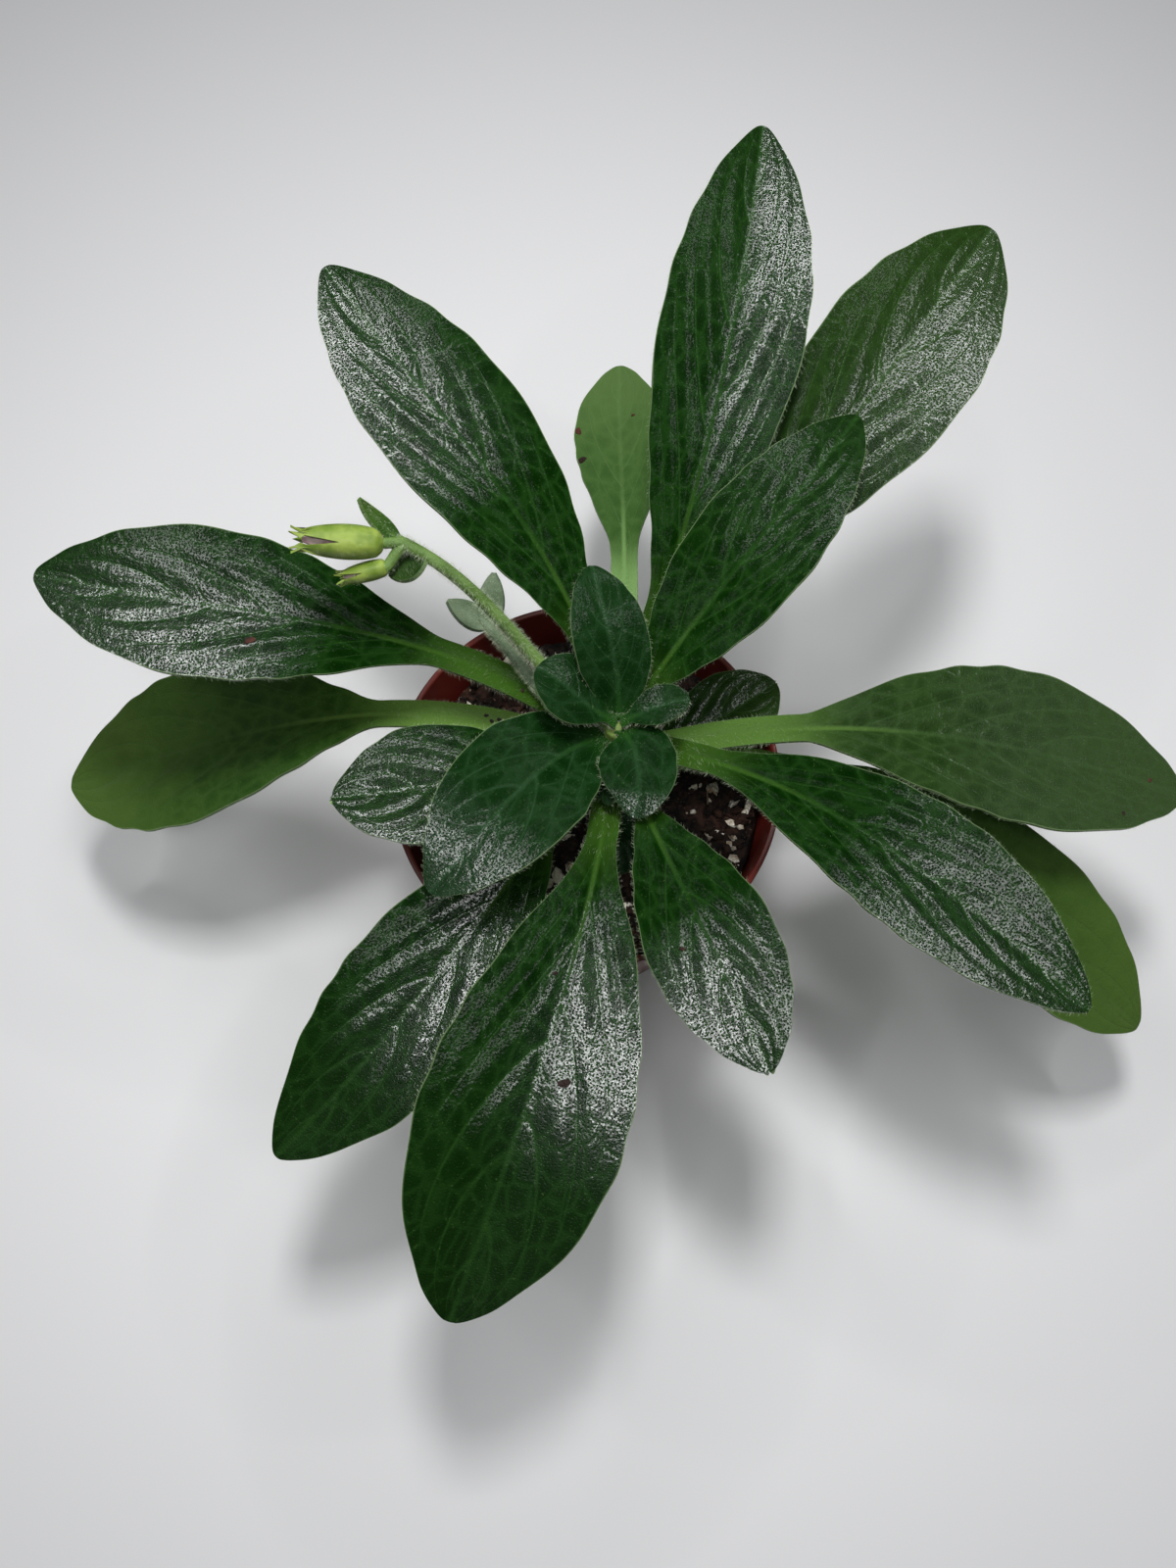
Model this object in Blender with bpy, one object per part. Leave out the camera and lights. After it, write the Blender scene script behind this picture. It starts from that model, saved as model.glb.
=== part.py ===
"""Potted primulina: a rosette of fleshy leaves on one short stem, with two young flower stalks,
in a round plastic pot filled with peat and perlite.

Metres, +Z up. The origin is the middle of the pot's base, which stands on z = 0. Sizes below are
in millimetres times MM, angles in degrees: 0 points along +X and 90 along +Y.
"""
import math
import random
from collections import namedtuple

import bmesh
import bpy
from mathutils import Matrix, Vector, noise

MM = 0.001
GAP = 0.3 * MM            # clearance between pieces that touch

# Pot: a tapered cup with a collar round its rim and four drain holes in its base
POT_HEIGHT = 65 * MM
RIM_RADIUS = 38 * MM
BASE_RADIUS = 29 * MM
COLLAR_HEIGHT = 9.5 * MM
COLLAR_STEP = 0.9 * MM
POT_WALL = 1.2 * MM
POT_FLOOR = 1.6 * MM
POT_EDGE = 0.5 * MM           # rounding of the base, the collar and the rim
POT_SIDES = 48
DRAIN_RADIUS = 4 * MM
DRAIN_RING_RADIUS = 18 * MM
DRAIN_COUNT = 4

# Soil: fills the pot to a little under the rim, with perlite grains sunk in its top
SOIL_HEIGHT = 56 * MM
SOIL_MOUND = 2.5 * MM
SOIL_RELIEF = 1.3 * MM
CRUMB_SIZE = 6 * MM
SOIL_FOOT_INSET = 1.0 * MM    # the soil's foot stays this far from the pot's inner corner
SOIL_RINGS = 9
SOIL_SIDES = 32
PERLITE_COUNT = 26
PERLITE_RADII = (0.9 * MM, 2.0 * MM)
PERLITE_RING = 30 * MM        # the grains lie within this distance of the pot's middle
PERLITE_HOLLOW = 0.08         # share of that disc, round the stem, with no grains
PERLITE_LIFT = 0.15           # height of a grain's middle over the soil, of its radius
PERLITE_SEED = 7

# Stem: stands in a plain hole in the soil and leans a little towards +X
STEM_RADIUS = 3.4 * MM
STEM_TIP_RADIUS = 1.5 * MM
STEM_TAPER_HEIGHT = 83 * MM   # the crown narrows from here to the tip
STEM_FOOT = Vector((3.0, 0.5, 42)) * MM
STEM_SOIL_LINE = Vector((3.0, 0.5, 56)) * MM
STEM_TIP = Vector((5.7, 0.2, 91.0)) * MM
STEM_SCAR = 0.25 * MM         # depth of the waists between old leaf scars
STEM_SIDES = 12
STEM_RINGS = 12

# Leaves, from the crown down, then three small ones in the axils of others. Each grows at a
# height on the stem in one heading, at a rise above level, and ends at its tip, given by azimuth
# and reach from the stem's tip and by height, with a heading and droop of its own there. stalk is
# a share of the leaf's length and widest of the blade's, and roll lifts the blade's left side.
Leaf = namedtuple(
    "Leaf",
    "name height heading rise azimuth reach tip_height tip_heading droop width stalk widest roll",
)
LEAVES = (
    Leaf("leaf_01", 90.5, 163, 14, 152, 16, 97, 152, 5, 11, 0.10, 0.55, 12),
    Leaf("leaf_02", 90.5, 15, 20, 13, 12.5, 94, 5, 5, 6.2, 0.12, 0.52, 0),
    Leaf("leaf_03", 89.0, 84, 42, 101, 25, 102, 100, 10, 12.6, 0.05, 0.47, 8),
    Leaf("leaf_04", 89.0, -52, 20, -82, 17, 88, -110, 25, 12.5, 0.08, 0.38, 8),
    Leaf("leaf_05", 86.3, -157, 20, -137, 44, 88, -137, 22, 22.5, 0.04, 0.44, 0),
    Leaf("leaf_06", 86.5, 52, 30, 51, 68, 106, 56, 5, 21, 0.12, 0.49, 0),
    Leaf("leaf_07", 84.2, 103, 19, 123, 99, 110, 125, -8, 26, 0.15, 0.56, -6),
    Leaf("leaf_08", 84.0, -73, 10, -68, 64, 85, -69, 8, 21, 0.20, 0.56, 10),
    Leaf("leaf_09", 81.6, 148, 19, 166, 107, 97, 166, 0, 27, 0.30, 0.57, -12),
    Leaf("leaf_10", 81.6, -12, 13, -33, 91, 87, -44, 4, 23, 0.18, 0.55, 4),
    Leaf("leaf_11", 79.2, -165, 10, -167, 52, 84, -175, 0, 22, 0.18, 0.57, 6),
    Leaf("leaf_12", 79.5, 68, 26, 76, 112, 118, 83, -10, 26, 0.20, 0.57, 6),
    Leaf("leaf_13", 78.5, -93, 25, -106, 101, 71, -112, 27, 33, 0.18, 0.58, -12),
    Leaf("leaf_14", 76.2, 54, 18, 53, 118, 108, 55, -8, 30, 0.27, 0.61, 10),
    Leaf("leaf_15", 75.8, -126, 11, -130, 93, 65, -138, 16, 27, 0.20, 0.50, -12),
    Leaf("leaf_16", 73.2, 160, 14, 176, 119, 38, 180, 30, 33, 0.34, 0.56, -4),
    Leaf("leaf_17", 73.2, 10, 18, -2, 111, 64, -11, 18, 31, 0.30, 0.55, -3),
    Leaf("leaf_18", 69.8, 8, 12, -22, 117, 34, -34, 35, 28, 0.18, 0.64, 0),
    Leaf("leaf_19", 68.0, 80, 12, 89, 101, 62, 88, 10, 19, 0.42, 0.60, -8),
    Leaf("leaf_20", 65.5, 16, 15, 29, 36, 70, 36, 5, 15, 0.15, 0.60, 4),
    Leaf("leaf_21", 72.0, -92, 10, -88, 13, 71, -88, 30, 7, 0.12, 0.60, 0),
    Leaf("leaf_22", 63.0, -88, 10, -87, 19, 61, -88, 20, 9, 0.12, 0.60, 0),
    Leaf("leaf_23", 85.9, -103, 5, -98, 14, 86, -92, 30, 5, 0.10, 0.55, 50),
)
HANDLE_SHARE = 0.36       # length of a midrib curve's handles, of the distance to the tip
BLADE_FOLD = 15           # degrees that each half of a blade rises from the midrib
BLADE_SWELL = 0.2         # how far a half bulges back down, of its width
BLADE_PUFF = 0.45 * MM    # how far a long blade swells between its side veins
BLADE_COLUMNS = (1.0, 0.52, 0.0, -0.52, -1.0)   # places across the blade, of its half width
BLADE_THICKNESS = 1.3 * MM
MARGIN_THICKNESS = 0.65 * MM
PETIOLE_THICKNESS = 2.5 * MM
PETIOLE_FADE = 0.15       # the petiole's thickness is lost over this share past its end
PETIOLE_HALF_WIDTH = 2.7 * MM     # the most that a petiole has
PETIOLE_LEAST = 0.7 * MM
PETIOLE_GROWTH = 0.02     # what a petiole's half width gains with the leaf's length
CLASP_SHARE = 0.08        # share of the length over which the petiole widens to clasp the stem
CLASP_SPREAD = 0.3
SHORT_LEAF_THICKNESS = 0.75       # a short leaf's thickness, of a long one's
TIP_TAPER = 0.85          # below 1 rounds a blade's tip, above 1 draws it out
TIP_HALF_WIDTH = 0.5 * MM
TIP_STATION = 0.975       # the last row of points before the tip, of the blade's length
TOOTH_DEPTH = 0.4 * MM
LONG_LEAF = 55 * MM       # a longer leaf has more teeth and stations
LONG_TEETH = 7
SHORT_TEETH = 4

# Flower stalks, placed as the leaves are: each rises from an axil to a node with two bracts
Stalk = namedtuple(
    "Stalk", "height heading rise azimuth reach tip_height tip_heading droop radius"
)
TALL_STALK = Stalk(87.4, 148, 9, 148, 43.3, 112.5, 158, -10, 1.15)
SHORT_STALK = Stalk(84.4, 168, 14, 142, 31.3, 92.5, 136, -8, 1.0)
STALK_SIDES = 8
STALK_POINTS = 12
STALK_FOOT = 1.1              # a stalk's radius at its foot and its top, of the stated one
STALK_TOP = 0.9

# Bracts: base and tip in millimetres, width, and how far the two halves cup upwards
Bract = namedtuple("Bract", "base tip width cup")
TALL_BRACTS = (
    Bract((-30.5, 23.0, 112.0), (-36.8, 27.6, 117.0), 3.2, 0.35),
    Bract((-26.5, 21.0, 111.5), (-33.0, 19.4, 108.0), 6.2, 0.30),
)
SHORT_BRACTS = (
    Bract((-17.5, 18.0, 92.3), (-24.5, 21.5, 95.8), 4.6, 0.30),
    Bract((-17.5, 18.0, 92.3), (-16.5, 26.3, 97.0), 4.6, 0.30),
)

BRACT_THICKNESS = 0.8 * MM
BRACT_TIP = 0.5 * MM          # half width at the base and the tip
BRACT_ROWS = 7

# Buds: a calyx of five pointed lobes round a corolla that is still shut
Bud = namedtuple("Bud", "name base tip radius")
BUDS = (
    Bud("corolla_1", (-33.4, 22.4, 112.8), (-46.5, 22.0, 114.5), 2.75),
    Bud("corolla_2", (-32.6, 19.4, 110.6), (-40.4, 18.3, 108.8), 2.0),
)
PEDICEL_RADIUS = 1.0 * MM
LOBES = 5
LOBE_COLUMNS = 4          # columns of points in one lobe, from notch to notch
CALYX_WALL = 0.6 * MM
CALYX_ROWS = (0.0, 0.09, 0.25, 0.5, 0.75, 1.0)
LOBE_REACH = 1.12         # a lobe's tip, of the bud's length
NOTCH_REACH = 0.6         # where two lobes part
LOBE_FLARE = 0.25         # how far the lobes' tips turn out, of their length past the flare
FLARE_START = 0.9
CUP_FLOOR = 0.12          # the calyx's inner floor
COROLLA_START = 0.16      # the corolla's base in its calyx
COROLLA_END = 0.98
COROLLA_ROWS = 8
BUD_LEAN = 0.8            # below 1 moves a bud's widest part towards its base
BUD_FULLNESS = 0.55       # below 1 makes it blunter


def metres(point):
    """A point given in millimetres."""
    return Vector(point) * MM


def direction(azimuth, elevation):
    """The unit vector at an azimuth and elevation in degrees."""
    a = math.radians(azimuth)
    e = math.radians(elevation)
    return Vector((math.cos(a) * math.cos(e), math.sin(a) * math.cos(e), math.sin(e)))


def blend(a, b, t):
    """The value a share t of the way from a to b."""
    return a + (b - a) * t


def make_material(name, colour, roughness):
    """A plain Principled material."""
    material = bpy.data.materials.new(name)
    material.use_nodes = True
    shader = material.node_tree.nodes["Principled BSDF"]
    shader.inputs["Base Color"].default_value = (*colour, 1.0)
    shader.inputs["Roughness"].default_value = roughness
    shader.inputs["Metallic"].default_value = 0.0
    return material


def make_object(name, shape, material=None):
    """An object from a finished bmesh, smooth but for its sharp edges."""
    mesh = bpy.data.meshes.new(name)
    shape.to_mesh(mesh)
    shape.free()
    mesh.shade_smooth()
    mesh.set_sharp_from_angle(angle=math.radians(50))
    thing = bpy.data.objects.new(name, mesh)
    bpy.context.scene.collection.objects.link(thing)
    if material:
        mesh.materials.append(material)
    return thing


def hide_guide(guide):
    """Marks a cutter or a guide, which isn't a piece of the object."""
    guide.hide_render = True
    guide.display_type = "WIRE"


def lathe(profile, sides):
    """A closed body turned about Z from a profile of (radius, z) that starts and ends at Z."""
    shape = bmesh.new()
    line = [shape.verts.new((radius, 0, z)) for radius, z in profile]
    edges = [shape.edges.new(pair) for pair in zip(line, line[1:])]
    bmesh.ops.spin(shape, geom=line + edges, cent=(0, 0, 0), axis=(0, 0, 1),
                   angle=math.tau, steps=sides, use_merge=True)
    bmesh.ops.remove_doubles(shape, verts=shape.verts, dist=1e-6)
    bmesh.ops.recalc_face_normals(shape, faces=shape.faces)
    return shape


def tube(shape, path, radii, sides):
    """Adds a round bar along a path of points, with a radius at each, closed at both ends."""
    rings = []
    for i, centre in enumerate(path):
        along = (path[min(i + 1, len(path) - 1)] - path[max(i - 1, 0)]).normalized()
        side = along.cross(Vector((0, 0, 1)) if abs(along.z) < 0.9 else Vector((0, 1, 0)))
        side.normalize()
        up = along.cross(side)
        ring = []
        for k in range(sides):
            angle = math.tau * k / sides
            offset = side * math.cos(angle) + up * math.sin(angle)
            ring.append(shape.verts.new(centre + offset * radii[i]))
        rings.append(ring)
    for ring, following in zip(rings, rings[1:]):
        for k in range(sides):
            j = (k + 1) % sides
            shape.faces.new((ring[k], ring[j], following[j], following[k]))
    shape.faces.new(rings[0][::-1])
    shape.faces.new(rings[-1])


def bezier(start, first, second, end, t):
    """The point at t on a cubic curve with two handles."""
    s = 1 - t
    return start * s ** 3 + first * (3 * s * s * t) + second * (3 * s * t * t) + end * t ** 3


def stem_centre(z):
    """The stem's middle at a height in metres."""
    t = (z - STEM_SOIL_LINE.z) / (STEM_TIP.z - STEM_SOIL_LINE.z)
    return STEM_SOIL_LINE.lerp(STEM_TIP, max(t, 0.0))


def stem_radius(z):
    """The stem's radius at a height in metres."""
    t = (z - STEM_TAPER_HEIGHT) / (STEM_TIP.z - STEM_TAPER_HEIGHT)
    return blend(STEM_RADIUS, STEM_TIP_RADIUS, max(t, 0.0))


def pot_outer_radius(z):
    """The body's outer radius at a height, under the collar."""
    slope = (RIM_RADIUS - COLLAR_STEP - BASE_RADIUS) / (POT_HEIGHT - COLLAR_HEIGHT)
    return BASE_RADIUS + slope * z


def pot_inner_radius(z):
    """The inner wall's radius at a height, which is straight from the floor to the rim."""
    slope = (RIM_RADIUS - BASE_RADIUS) / POT_HEIGHT
    return BASE_RADIUS - POT_WALL + slope * z


def make_pot(material):
    """The pot, turned in one piece, with drain holes cut through its floor."""
    edge = POT_EDGE
    collar_z = POT_HEIGHT - COLLAR_HEIGHT
    profile = (
        (0, 0),
        (BASE_RADIUS - 2 * edge, 0),
        (BASE_RADIUS, 2 * edge),
        (pot_outer_radius(collar_z) - COLLAR_STEP, collar_z - edge),
        (RIM_RADIUS - edge, collar_z),
        (RIM_RADIUS - edge / 2, collar_z + edge),
        (RIM_RADIUS, POT_HEIGHT - edge),
        (RIM_RADIUS - edge, POT_HEIGHT),
        (pot_inner_radius(POT_HEIGHT) + edge / 2, POT_HEIGHT),
        (pot_inner_radius(POT_HEIGHT - edge), POT_HEIGHT - edge),
        (pot_inner_radius(POT_FLOOR + 2 * edge), POT_FLOOR + 2 * edge),
        (pot_inner_radius(POT_FLOOR) - 2 * edge, POT_FLOOR),
        (0, POT_FLOOR),
    )
    pot = make_object("pot", lathe(profile, POT_SIDES), material)
    holes = bmesh.new()
    for k in range(DRAIN_COUNT):
        angle = math.tau * (k + 0.5) / DRAIN_COUNT
        x = DRAIN_RING_RADIUS * math.cos(angle)
        y = DRAIN_RING_RADIUS * math.sin(angle)
        path = [Vector((x, y, -POT_FLOOR)), Vector((x, y, 2 * POT_FLOOR))]
        tube(holes, path, (DRAIN_RADIUS, DRAIN_RADIUS), 16)
    cutter = make_object("drain_cutter", holes)
    hide_guide(cutter)
    cut = pot.modifiers.new("drain holes", "BOOLEAN")
    cut.operation = "DIFFERENCE"
    cut.object = cutter


def soil_top(x, y):
    """The soil's height at a place: a low mound at the stem with crumbs all over."""
    radius = math.hypot(x, y)
    mound = SOIL_MOUND * max(0.0, 1 - radius / RIM_RADIUS)
    crumbs = noise.fractal(Vector((x, y, 0)) / CRUMB_SIZE, 0.8, 2.0, 3)
    return SOIL_HEIGHT + mound + SOIL_RELIEF * crumbs


def make_soil(material):
    """The soil with its perlite grains, and a plain hole for the stem."""
    shape = bmesh.new()
    floor_z = POT_FLOOR + GAP
    top_radius = pot_inner_radius(SOIL_HEIGHT - 2 * SOIL_RELIEF) - GAP
    rings = []
    for i in range(1, SOIL_RINGS + 1):
        radius = top_radius * i / SOIL_RINGS
        ring = []
        for k in range(SOIL_SIDES):
            angle = math.tau * (k + 0.5 * (i % 2)) / SOIL_SIDES
            x = radius * math.cos(angle)
            y = radius * math.sin(angle)
            z = soil_top(x, y) if i < SOIL_RINGS else SOIL_HEIGHT - 2 * SOIL_RELIEF
            ring.append(shape.verts.new((x, y, z)))
        rings.append(ring)
    bottom_radius = pot_inner_radius(floor_z) - GAP - SOIL_FOOT_INSET
    foot = []
    for k in range(SOIL_SIDES):
        angle = math.tau * (k + 0.5 * (SOIL_RINGS % 2)) / SOIL_SIDES
        foot.append(shape.verts.new((bottom_radius * math.cos(angle),
                                     bottom_radius * math.sin(angle), floor_z)))
    middle = shape.verts.new((0, 0, soil_top(0, 0)))
    for k in range(SOIL_SIDES):
        j = (k + 1) % SOIL_SIDES
        shape.faces.new((middle, rings[0][k], rings[0][j]))
        shape.faces.new((foot[k], foot[j], rings[-1][j], rings[-1][k]))
        for i in range(SOIL_RINGS - 1):
            inner = rings[i]
            outer = rings[i + 1]
            if i % 2:
                shape.faces.new((inner[k], outer[k], inner[j]))
                shape.faces.new((outer[k], outer[j], inner[j]))
            else:
                shape.faces.new((inner[k], outer[k], outer[j]))
                shape.faces.new((inner[k], outer[j], inner[j]))
    shape.faces.new(foot[::-1])
    soil = make_object("soil", shape, material)

    grains = bmesh.new()
    chance = random.Random(PERLITE_SEED)
    for _ in range(PERLITE_COUNT):
        angle = chance.uniform(0, math.tau)
        distance = PERLITE_RING * math.sqrt(chance.uniform(PERLITE_HOLLOW, 1))
        x = distance * math.cos(angle)
        y = distance * math.sin(angle)
        radius = chance.uniform(*PERLITE_RADII)
        spot = Vector((x, y, soil_top(x, y) + PERLITE_LIFT * radius))
        ball = bmesh.ops.create_icosphere(grains, subdivisions=1, radius=radius)
        bmesh.ops.translate(grains, verts=ball["verts"], vec=spot)
    perlite = make_object("perlite_guide", grains)
    hide_guide(perlite)
    join = soil.modifiers.new("perlite grains", "BOOLEAN")
    join.operation = "UNION"
    join.object = perlite
    join.use_self = True

    hole = bmesh.new()
    above = 2 * (SOIL_MOUND + SOIL_RELIEF)
    path = [STEM_FOOT - Vector((0, 0, GAP)), STEM_SOIL_LINE + Vector((0, 0, above))]
    tube(hole, path, (STEM_RADIUS + 2 * GAP, STEM_RADIUS + 2 * GAP), 2 * STEM_SIDES)
    cutter = make_object("stem_hole_cutter", hole)
    hide_guide(cutter)
    cut = soil.modifiers.new("stem hole", "BOOLEAN")
    cut.operation = "DIFFERENCE"
    cut.object = cutter


def make_stem(material):
    """The short stem: upright in the soil, then leaning, ringed with old leaf scars."""
    shape = bmesh.new()
    path = [STEM_FOOT]
    radii = [STEM_RADIUS]
    for i in range(STEM_RINGS):
        t = i / (STEM_RINGS - 1)
        path.append(STEM_SOIL_LINE.lerp(STEM_TIP, t))
        scar = STEM_SCAR if i % 2 else 0
        radii.append(stem_radius(path[-1].z) - scar)
    tube(shape, path, radii, STEM_SIDES)
    make_object("stem", shape, material)


def midrib(leaf):
    """A leaf's midrib, or a stalk, as a cubic curve: its start, two handles and its tip."""
    height = leaf.height * MM
    start = stem_centre(height) + direction(leaf.heading, 0) * (stem_radius(height) + GAP)
    tip = STEM_TIP + direction(leaf.azimuth, 0) * leaf.reach * MM
    tip.z = leaf.tip_height * MM
    handle = (tip - start).length * HANDLE_SHARE
    first = start + direction(leaf.heading, leaf.rise) * handle
    second = tip - direction(leaf.tip_heading, -leaf.droop) * handle
    return start, first, second, tip


def curve_length(curve, steps=64):
    """A cubic curve's length."""
    points = [bezier(*curve, i / steps) for i in range(steps + 1)]
    return sum((b - a).length for a, b in zip(points, points[1:]))


def half_width(leaf, length, s, tooth):
    """Half the leaf's width at a share s of its length, with the margin's tooth added."""
    t = max(0.0, (s - leaf.stalk) / (1 - leaf.stalk))
    base_power = TIP_TAPER * leaf.widest / (1 - leaf.widest)
    peak = leaf.widest ** base_power * (1 - leaf.widest) ** TIP_TAPER
    blade = leaf.width * MM / 2 * t ** base_power * (1 - t) ** TIP_TAPER / peak
    petiole = min(PETIOLE_HALF_WIDTH, PETIOLE_LEAST + PETIOLE_GROWTH * length) * (1 - t)
    petiole *= 1 + CLASP_SPREAD * max(0.0, 1 - s / CLASP_SHARE)
    return max(TIP_HALF_WIDTH, math.hypot(petiole, blade) + tooth)


def stations(leaf, length):
    """Shares of the length at which the leaf has a row of points, each with its tooth."""
    teeth = LONG_TEETH if length > LONG_LEAF else SHORT_TEETH
    rows = [(0.0, 0.0), (leaf.stalk * 0.5, 0.0), (leaf.stalk, 0.0)]
    for k in range(1, 2 * teeth):
        t = k / (2 * teeth)
        rows.append((leaf.stalk + (1 - leaf.stalk) * t, TOOTH_DEPTH * (1 if k % 2 else -1)))
    rows.append((blend(leaf.stalk, 1.0, TIP_STATION), 0.0))
    rows.append((1.0, 0.0))
    return rows


def make_leaf(leaf, material):
    """A leaf: petiole and blade modelled flat along X, then bent along its midrib curve."""
    curve = midrib(leaf)
    length = curve_length(curve)
    shape = bmesh.new()
    long_leaf = length > LONG_LEAF
    fold = math.tan(math.radians(BLADE_FOLD))
    top = []
    under = []
    for s, tooth in stations(leaf, length):
        half = half_width(leaf, length, s, tooth)
        faded = min(1.0, s / (leaf.stalk + PETIOLE_FADE))
        middle = blend(PETIOLE_THICKNESS, BLADE_THICKNESS, faded)
        middle *= 1.0 if long_leaf else SHORT_LEAF_THICKNESS
        puff = BLADE_PUFF * tooth / TOOTH_DEPTH if long_leaf else 0.0
        row = []
        row_under = []
        for v in BLADE_COLUMNS:
            rise = half * (abs(v) * fold - BLADE_SWELL * v * v)
            rise += puff * 4 * abs(v) * (1 - abs(v))
            depth = blend(middle, MARGIN_THICKNESS, v * v)
            row.append(shape.verts.new((s * length, v * half, rise)))
            row_under.append(shape.verts.new((s * length, v * half, rise - depth)))
        top.append(row)
        under.append(row_under)
    last = len(BLADE_COLUMNS) - 1
    for i in range(len(top) - 1):
        for k in range(last):
            if k < last / 2:
                cells = (((i, k), (i, k + 1), (i + 1, k + 1)), ((i, k), (i + 1, k + 1), (i + 1, k)))
            else:
                cells = (((i, k), (i, k + 1), (i + 1, k)), ((i, k + 1), (i + 1, k + 1), (i + 1, k)))
            for cell in cells:
                shape.faces.new([top[a][b] for a, b in cell])
                shape.faces.new([under[a][b] for a, b in reversed(cell)])
        for k, turn in ((0, 1), (last, -1)):
            margin = (top[i][k], top[i + 1][k], under[i + 1][k], under[i][k])
            shape.faces.new(margin[::turn])
    for i, turn in ((0, -1), (len(top) - 1, 1)):
        for k in range(last):
            end = (top[i][k], top[i][k + 1], under[i][k + 1], under[i][k])
            shape.faces.new(end[::turn])
    bmesh.ops.recalc_face_normals(shape, faces=shape.faces)

    guide_data = bpy.data.curves.new(leaf.name + "_midrib", "CURVE")
    guide_data.dimensions = "3D"
    guide_data.twist_mode = "Z_UP"
    guide_data.resolution_u = 32
    spline = guide_data.splines.new("BEZIER")
    spline.bezier_points.add(1)
    start, first, second, tip = curve
    base, end = spline.bezier_points
    for point, place, left, right in ((base, start, start, first), (end, tip, second, tip)):
        point.handle_left_type = "FREE"
        point.handle_right_type = "FREE"
        point.co = place
        point.handle_left = left
        point.handle_right = right
    end.tilt = math.radians(leaf.roll)
    guide = bpy.data.objects.new(leaf.name + "_midrib", guide_data)
    bpy.context.scene.collection.objects.link(guide)
    hide_guide(guide)

    thing = make_object(leaf.name, shape, material)
    bend = thing.modifiers.new("bend along the midrib", "CURVE")
    bend.object = guide
    bend.deform_axis = "POS_X"


def frame_along(base, tip):
    """The matrix that carries +X from base to tip, with +Z kept upwards."""
    along = (tip - base).normalized()
    side = Vector((0, 0, 1)).cross(along).normalized()
    up = along.cross(side)
    matrix = Matrix((along, side, up)).transposed().to_4x4()
    matrix.translation = base
    return matrix


def add_bract(shape, bract):
    """Adds an ovate bract, cupped along its middle."""
    base = metres(bract.base)
    tip = metres(bract.tip)
    length = (tip - base).length
    matrix = frame_along(base, tip)
    rows = []
    for i in range(BRACT_ROWS):
        t = i / (BRACT_ROWS - 1)
        half = max(BRACT_TIP, bract.width * MM / 2 * math.sin(math.pi * t ** 0.8) ** 0.7)
        row = []
        for drop in (0, BRACT_THICKNESS):
            for v in (1, 0, -1):
                z = half * bract.cup * abs(v) - drop
                row.append(shape.verts.new(matrix @ Vector((t * length, v * half, z))))
        rows.append(row)
    loop = (0, 1, 2, 5, 4, 3)
    for row, following in zip(rows, rows[1:]):
        for a, b in zip(loop, loop[1:] + loop[:1]):
            shape.faces.new((row[a], row[b], following[b], following[a]))
    for row, order in ((rows[0], 1), (rows[-1], -1)):
        for a, b in ((0, 1), (1, 2)):
            shape.faces.new((row[b], row[a], row[a + 3], row[b + 3])[::order])


def bud_radius(bud, t):
    """The corolla's radius at a share t of the bud's length."""
    inner = bud.radius * MM - CALYX_WALL - 2 * GAP
    return inner * math.sin(math.pi * min(COROLLA_END, t) ** BUD_LEAN) ** BUD_FULLNESS


def add_calyx(shape, bud):
    """Adds a calyx: a cup on its pedicel whose rim runs out in pointed lobes."""
    base = metres(bud.base)
    tip = metres(bud.tip)
    length = (tip - base).length
    matrix = frame_along(base, tip)
    columns = LOBES * LOBE_COLUMNS
    outer = []
    inner = []
    for k in range(columns):
        angle = math.tau * k / columns
        share = abs((k % LOBE_COLUMNS) / LOBE_COLUMNS - 0.5) * 2
        rim = blend(LOBE_REACH, NOTCH_REACH, share)
        spread = Vector((0, math.cos(angle), math.sin(angle)))
        line = []
        line_inner = []
        for row in CALYX_ROWS:
            t = row * rim
            inside = blend(CUP_FLOOR, rim, row)
            flare = LOBE_FLARE * length * max(0.0, t - FLARE_START)
            wide = max(bud_radius(bud, t) + 2 * GAP, PEDICEL_RADIUS) + CALYX_WALL
            narrow = bud_radius(bud, inside) + 2 * GAP
            out = Vector((t * length, 0, 0)) + spread * (wide + flare)
            line.append(shape.verts.new(matrix @ out))
            out = Vector((inside * length, 0, 0)) + spread * (narrow + flare)
            line_inner.append(shape.verts.new(matrix @ out))
        outer.append(line)
        inner.append(line_inner)
    for k in range(columns):
        j = (k + 1) % columns
        for i in range(len(CALYX_ROWS) - 1):
            shape.faces.new((outer[k][i], outer[k][i + 1], outer[j][i + 1], outer[j][i]))
            shape.faces.new((inner[k][i], inner[j][i], inner[j][i + 1], inner[k][i + 1]))
        shape.faces.new((outer[k][-1], inner[k][-1], inner[j][-1], outer[j][-1]))
    shape.faces.new([line[0] for line in outer])
    shape.faces.new([line[0] for line in inner][::-1])


def make_corolla(bud, material):
    """A shut corolla, turned along its length and laid into its calyx."""
    base = metres(bud.base)
    tip = metres(bud.tip)
    length = (tip - base).length
    profile = [(0, COROLLA_START * length + GAP)]
    for i in range(1, COROLLA_ROWS):
        t = blend(COROLLA_START, COROLLA_END, i / COROLLA_ROWS)
        profile.append((bud_radius(bud, t), t * length))
    profile.append((0, COROLLA_END * length))
    corolla = make_object(bud.name, lathe(profile, LOBES * LOBE_COLUMNS), material)
    turn = frame_along(base, tip) @ Matrix.Rotation(math.radians(90), 4, "Y")
    corolla.matrix_world = turn


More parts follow.
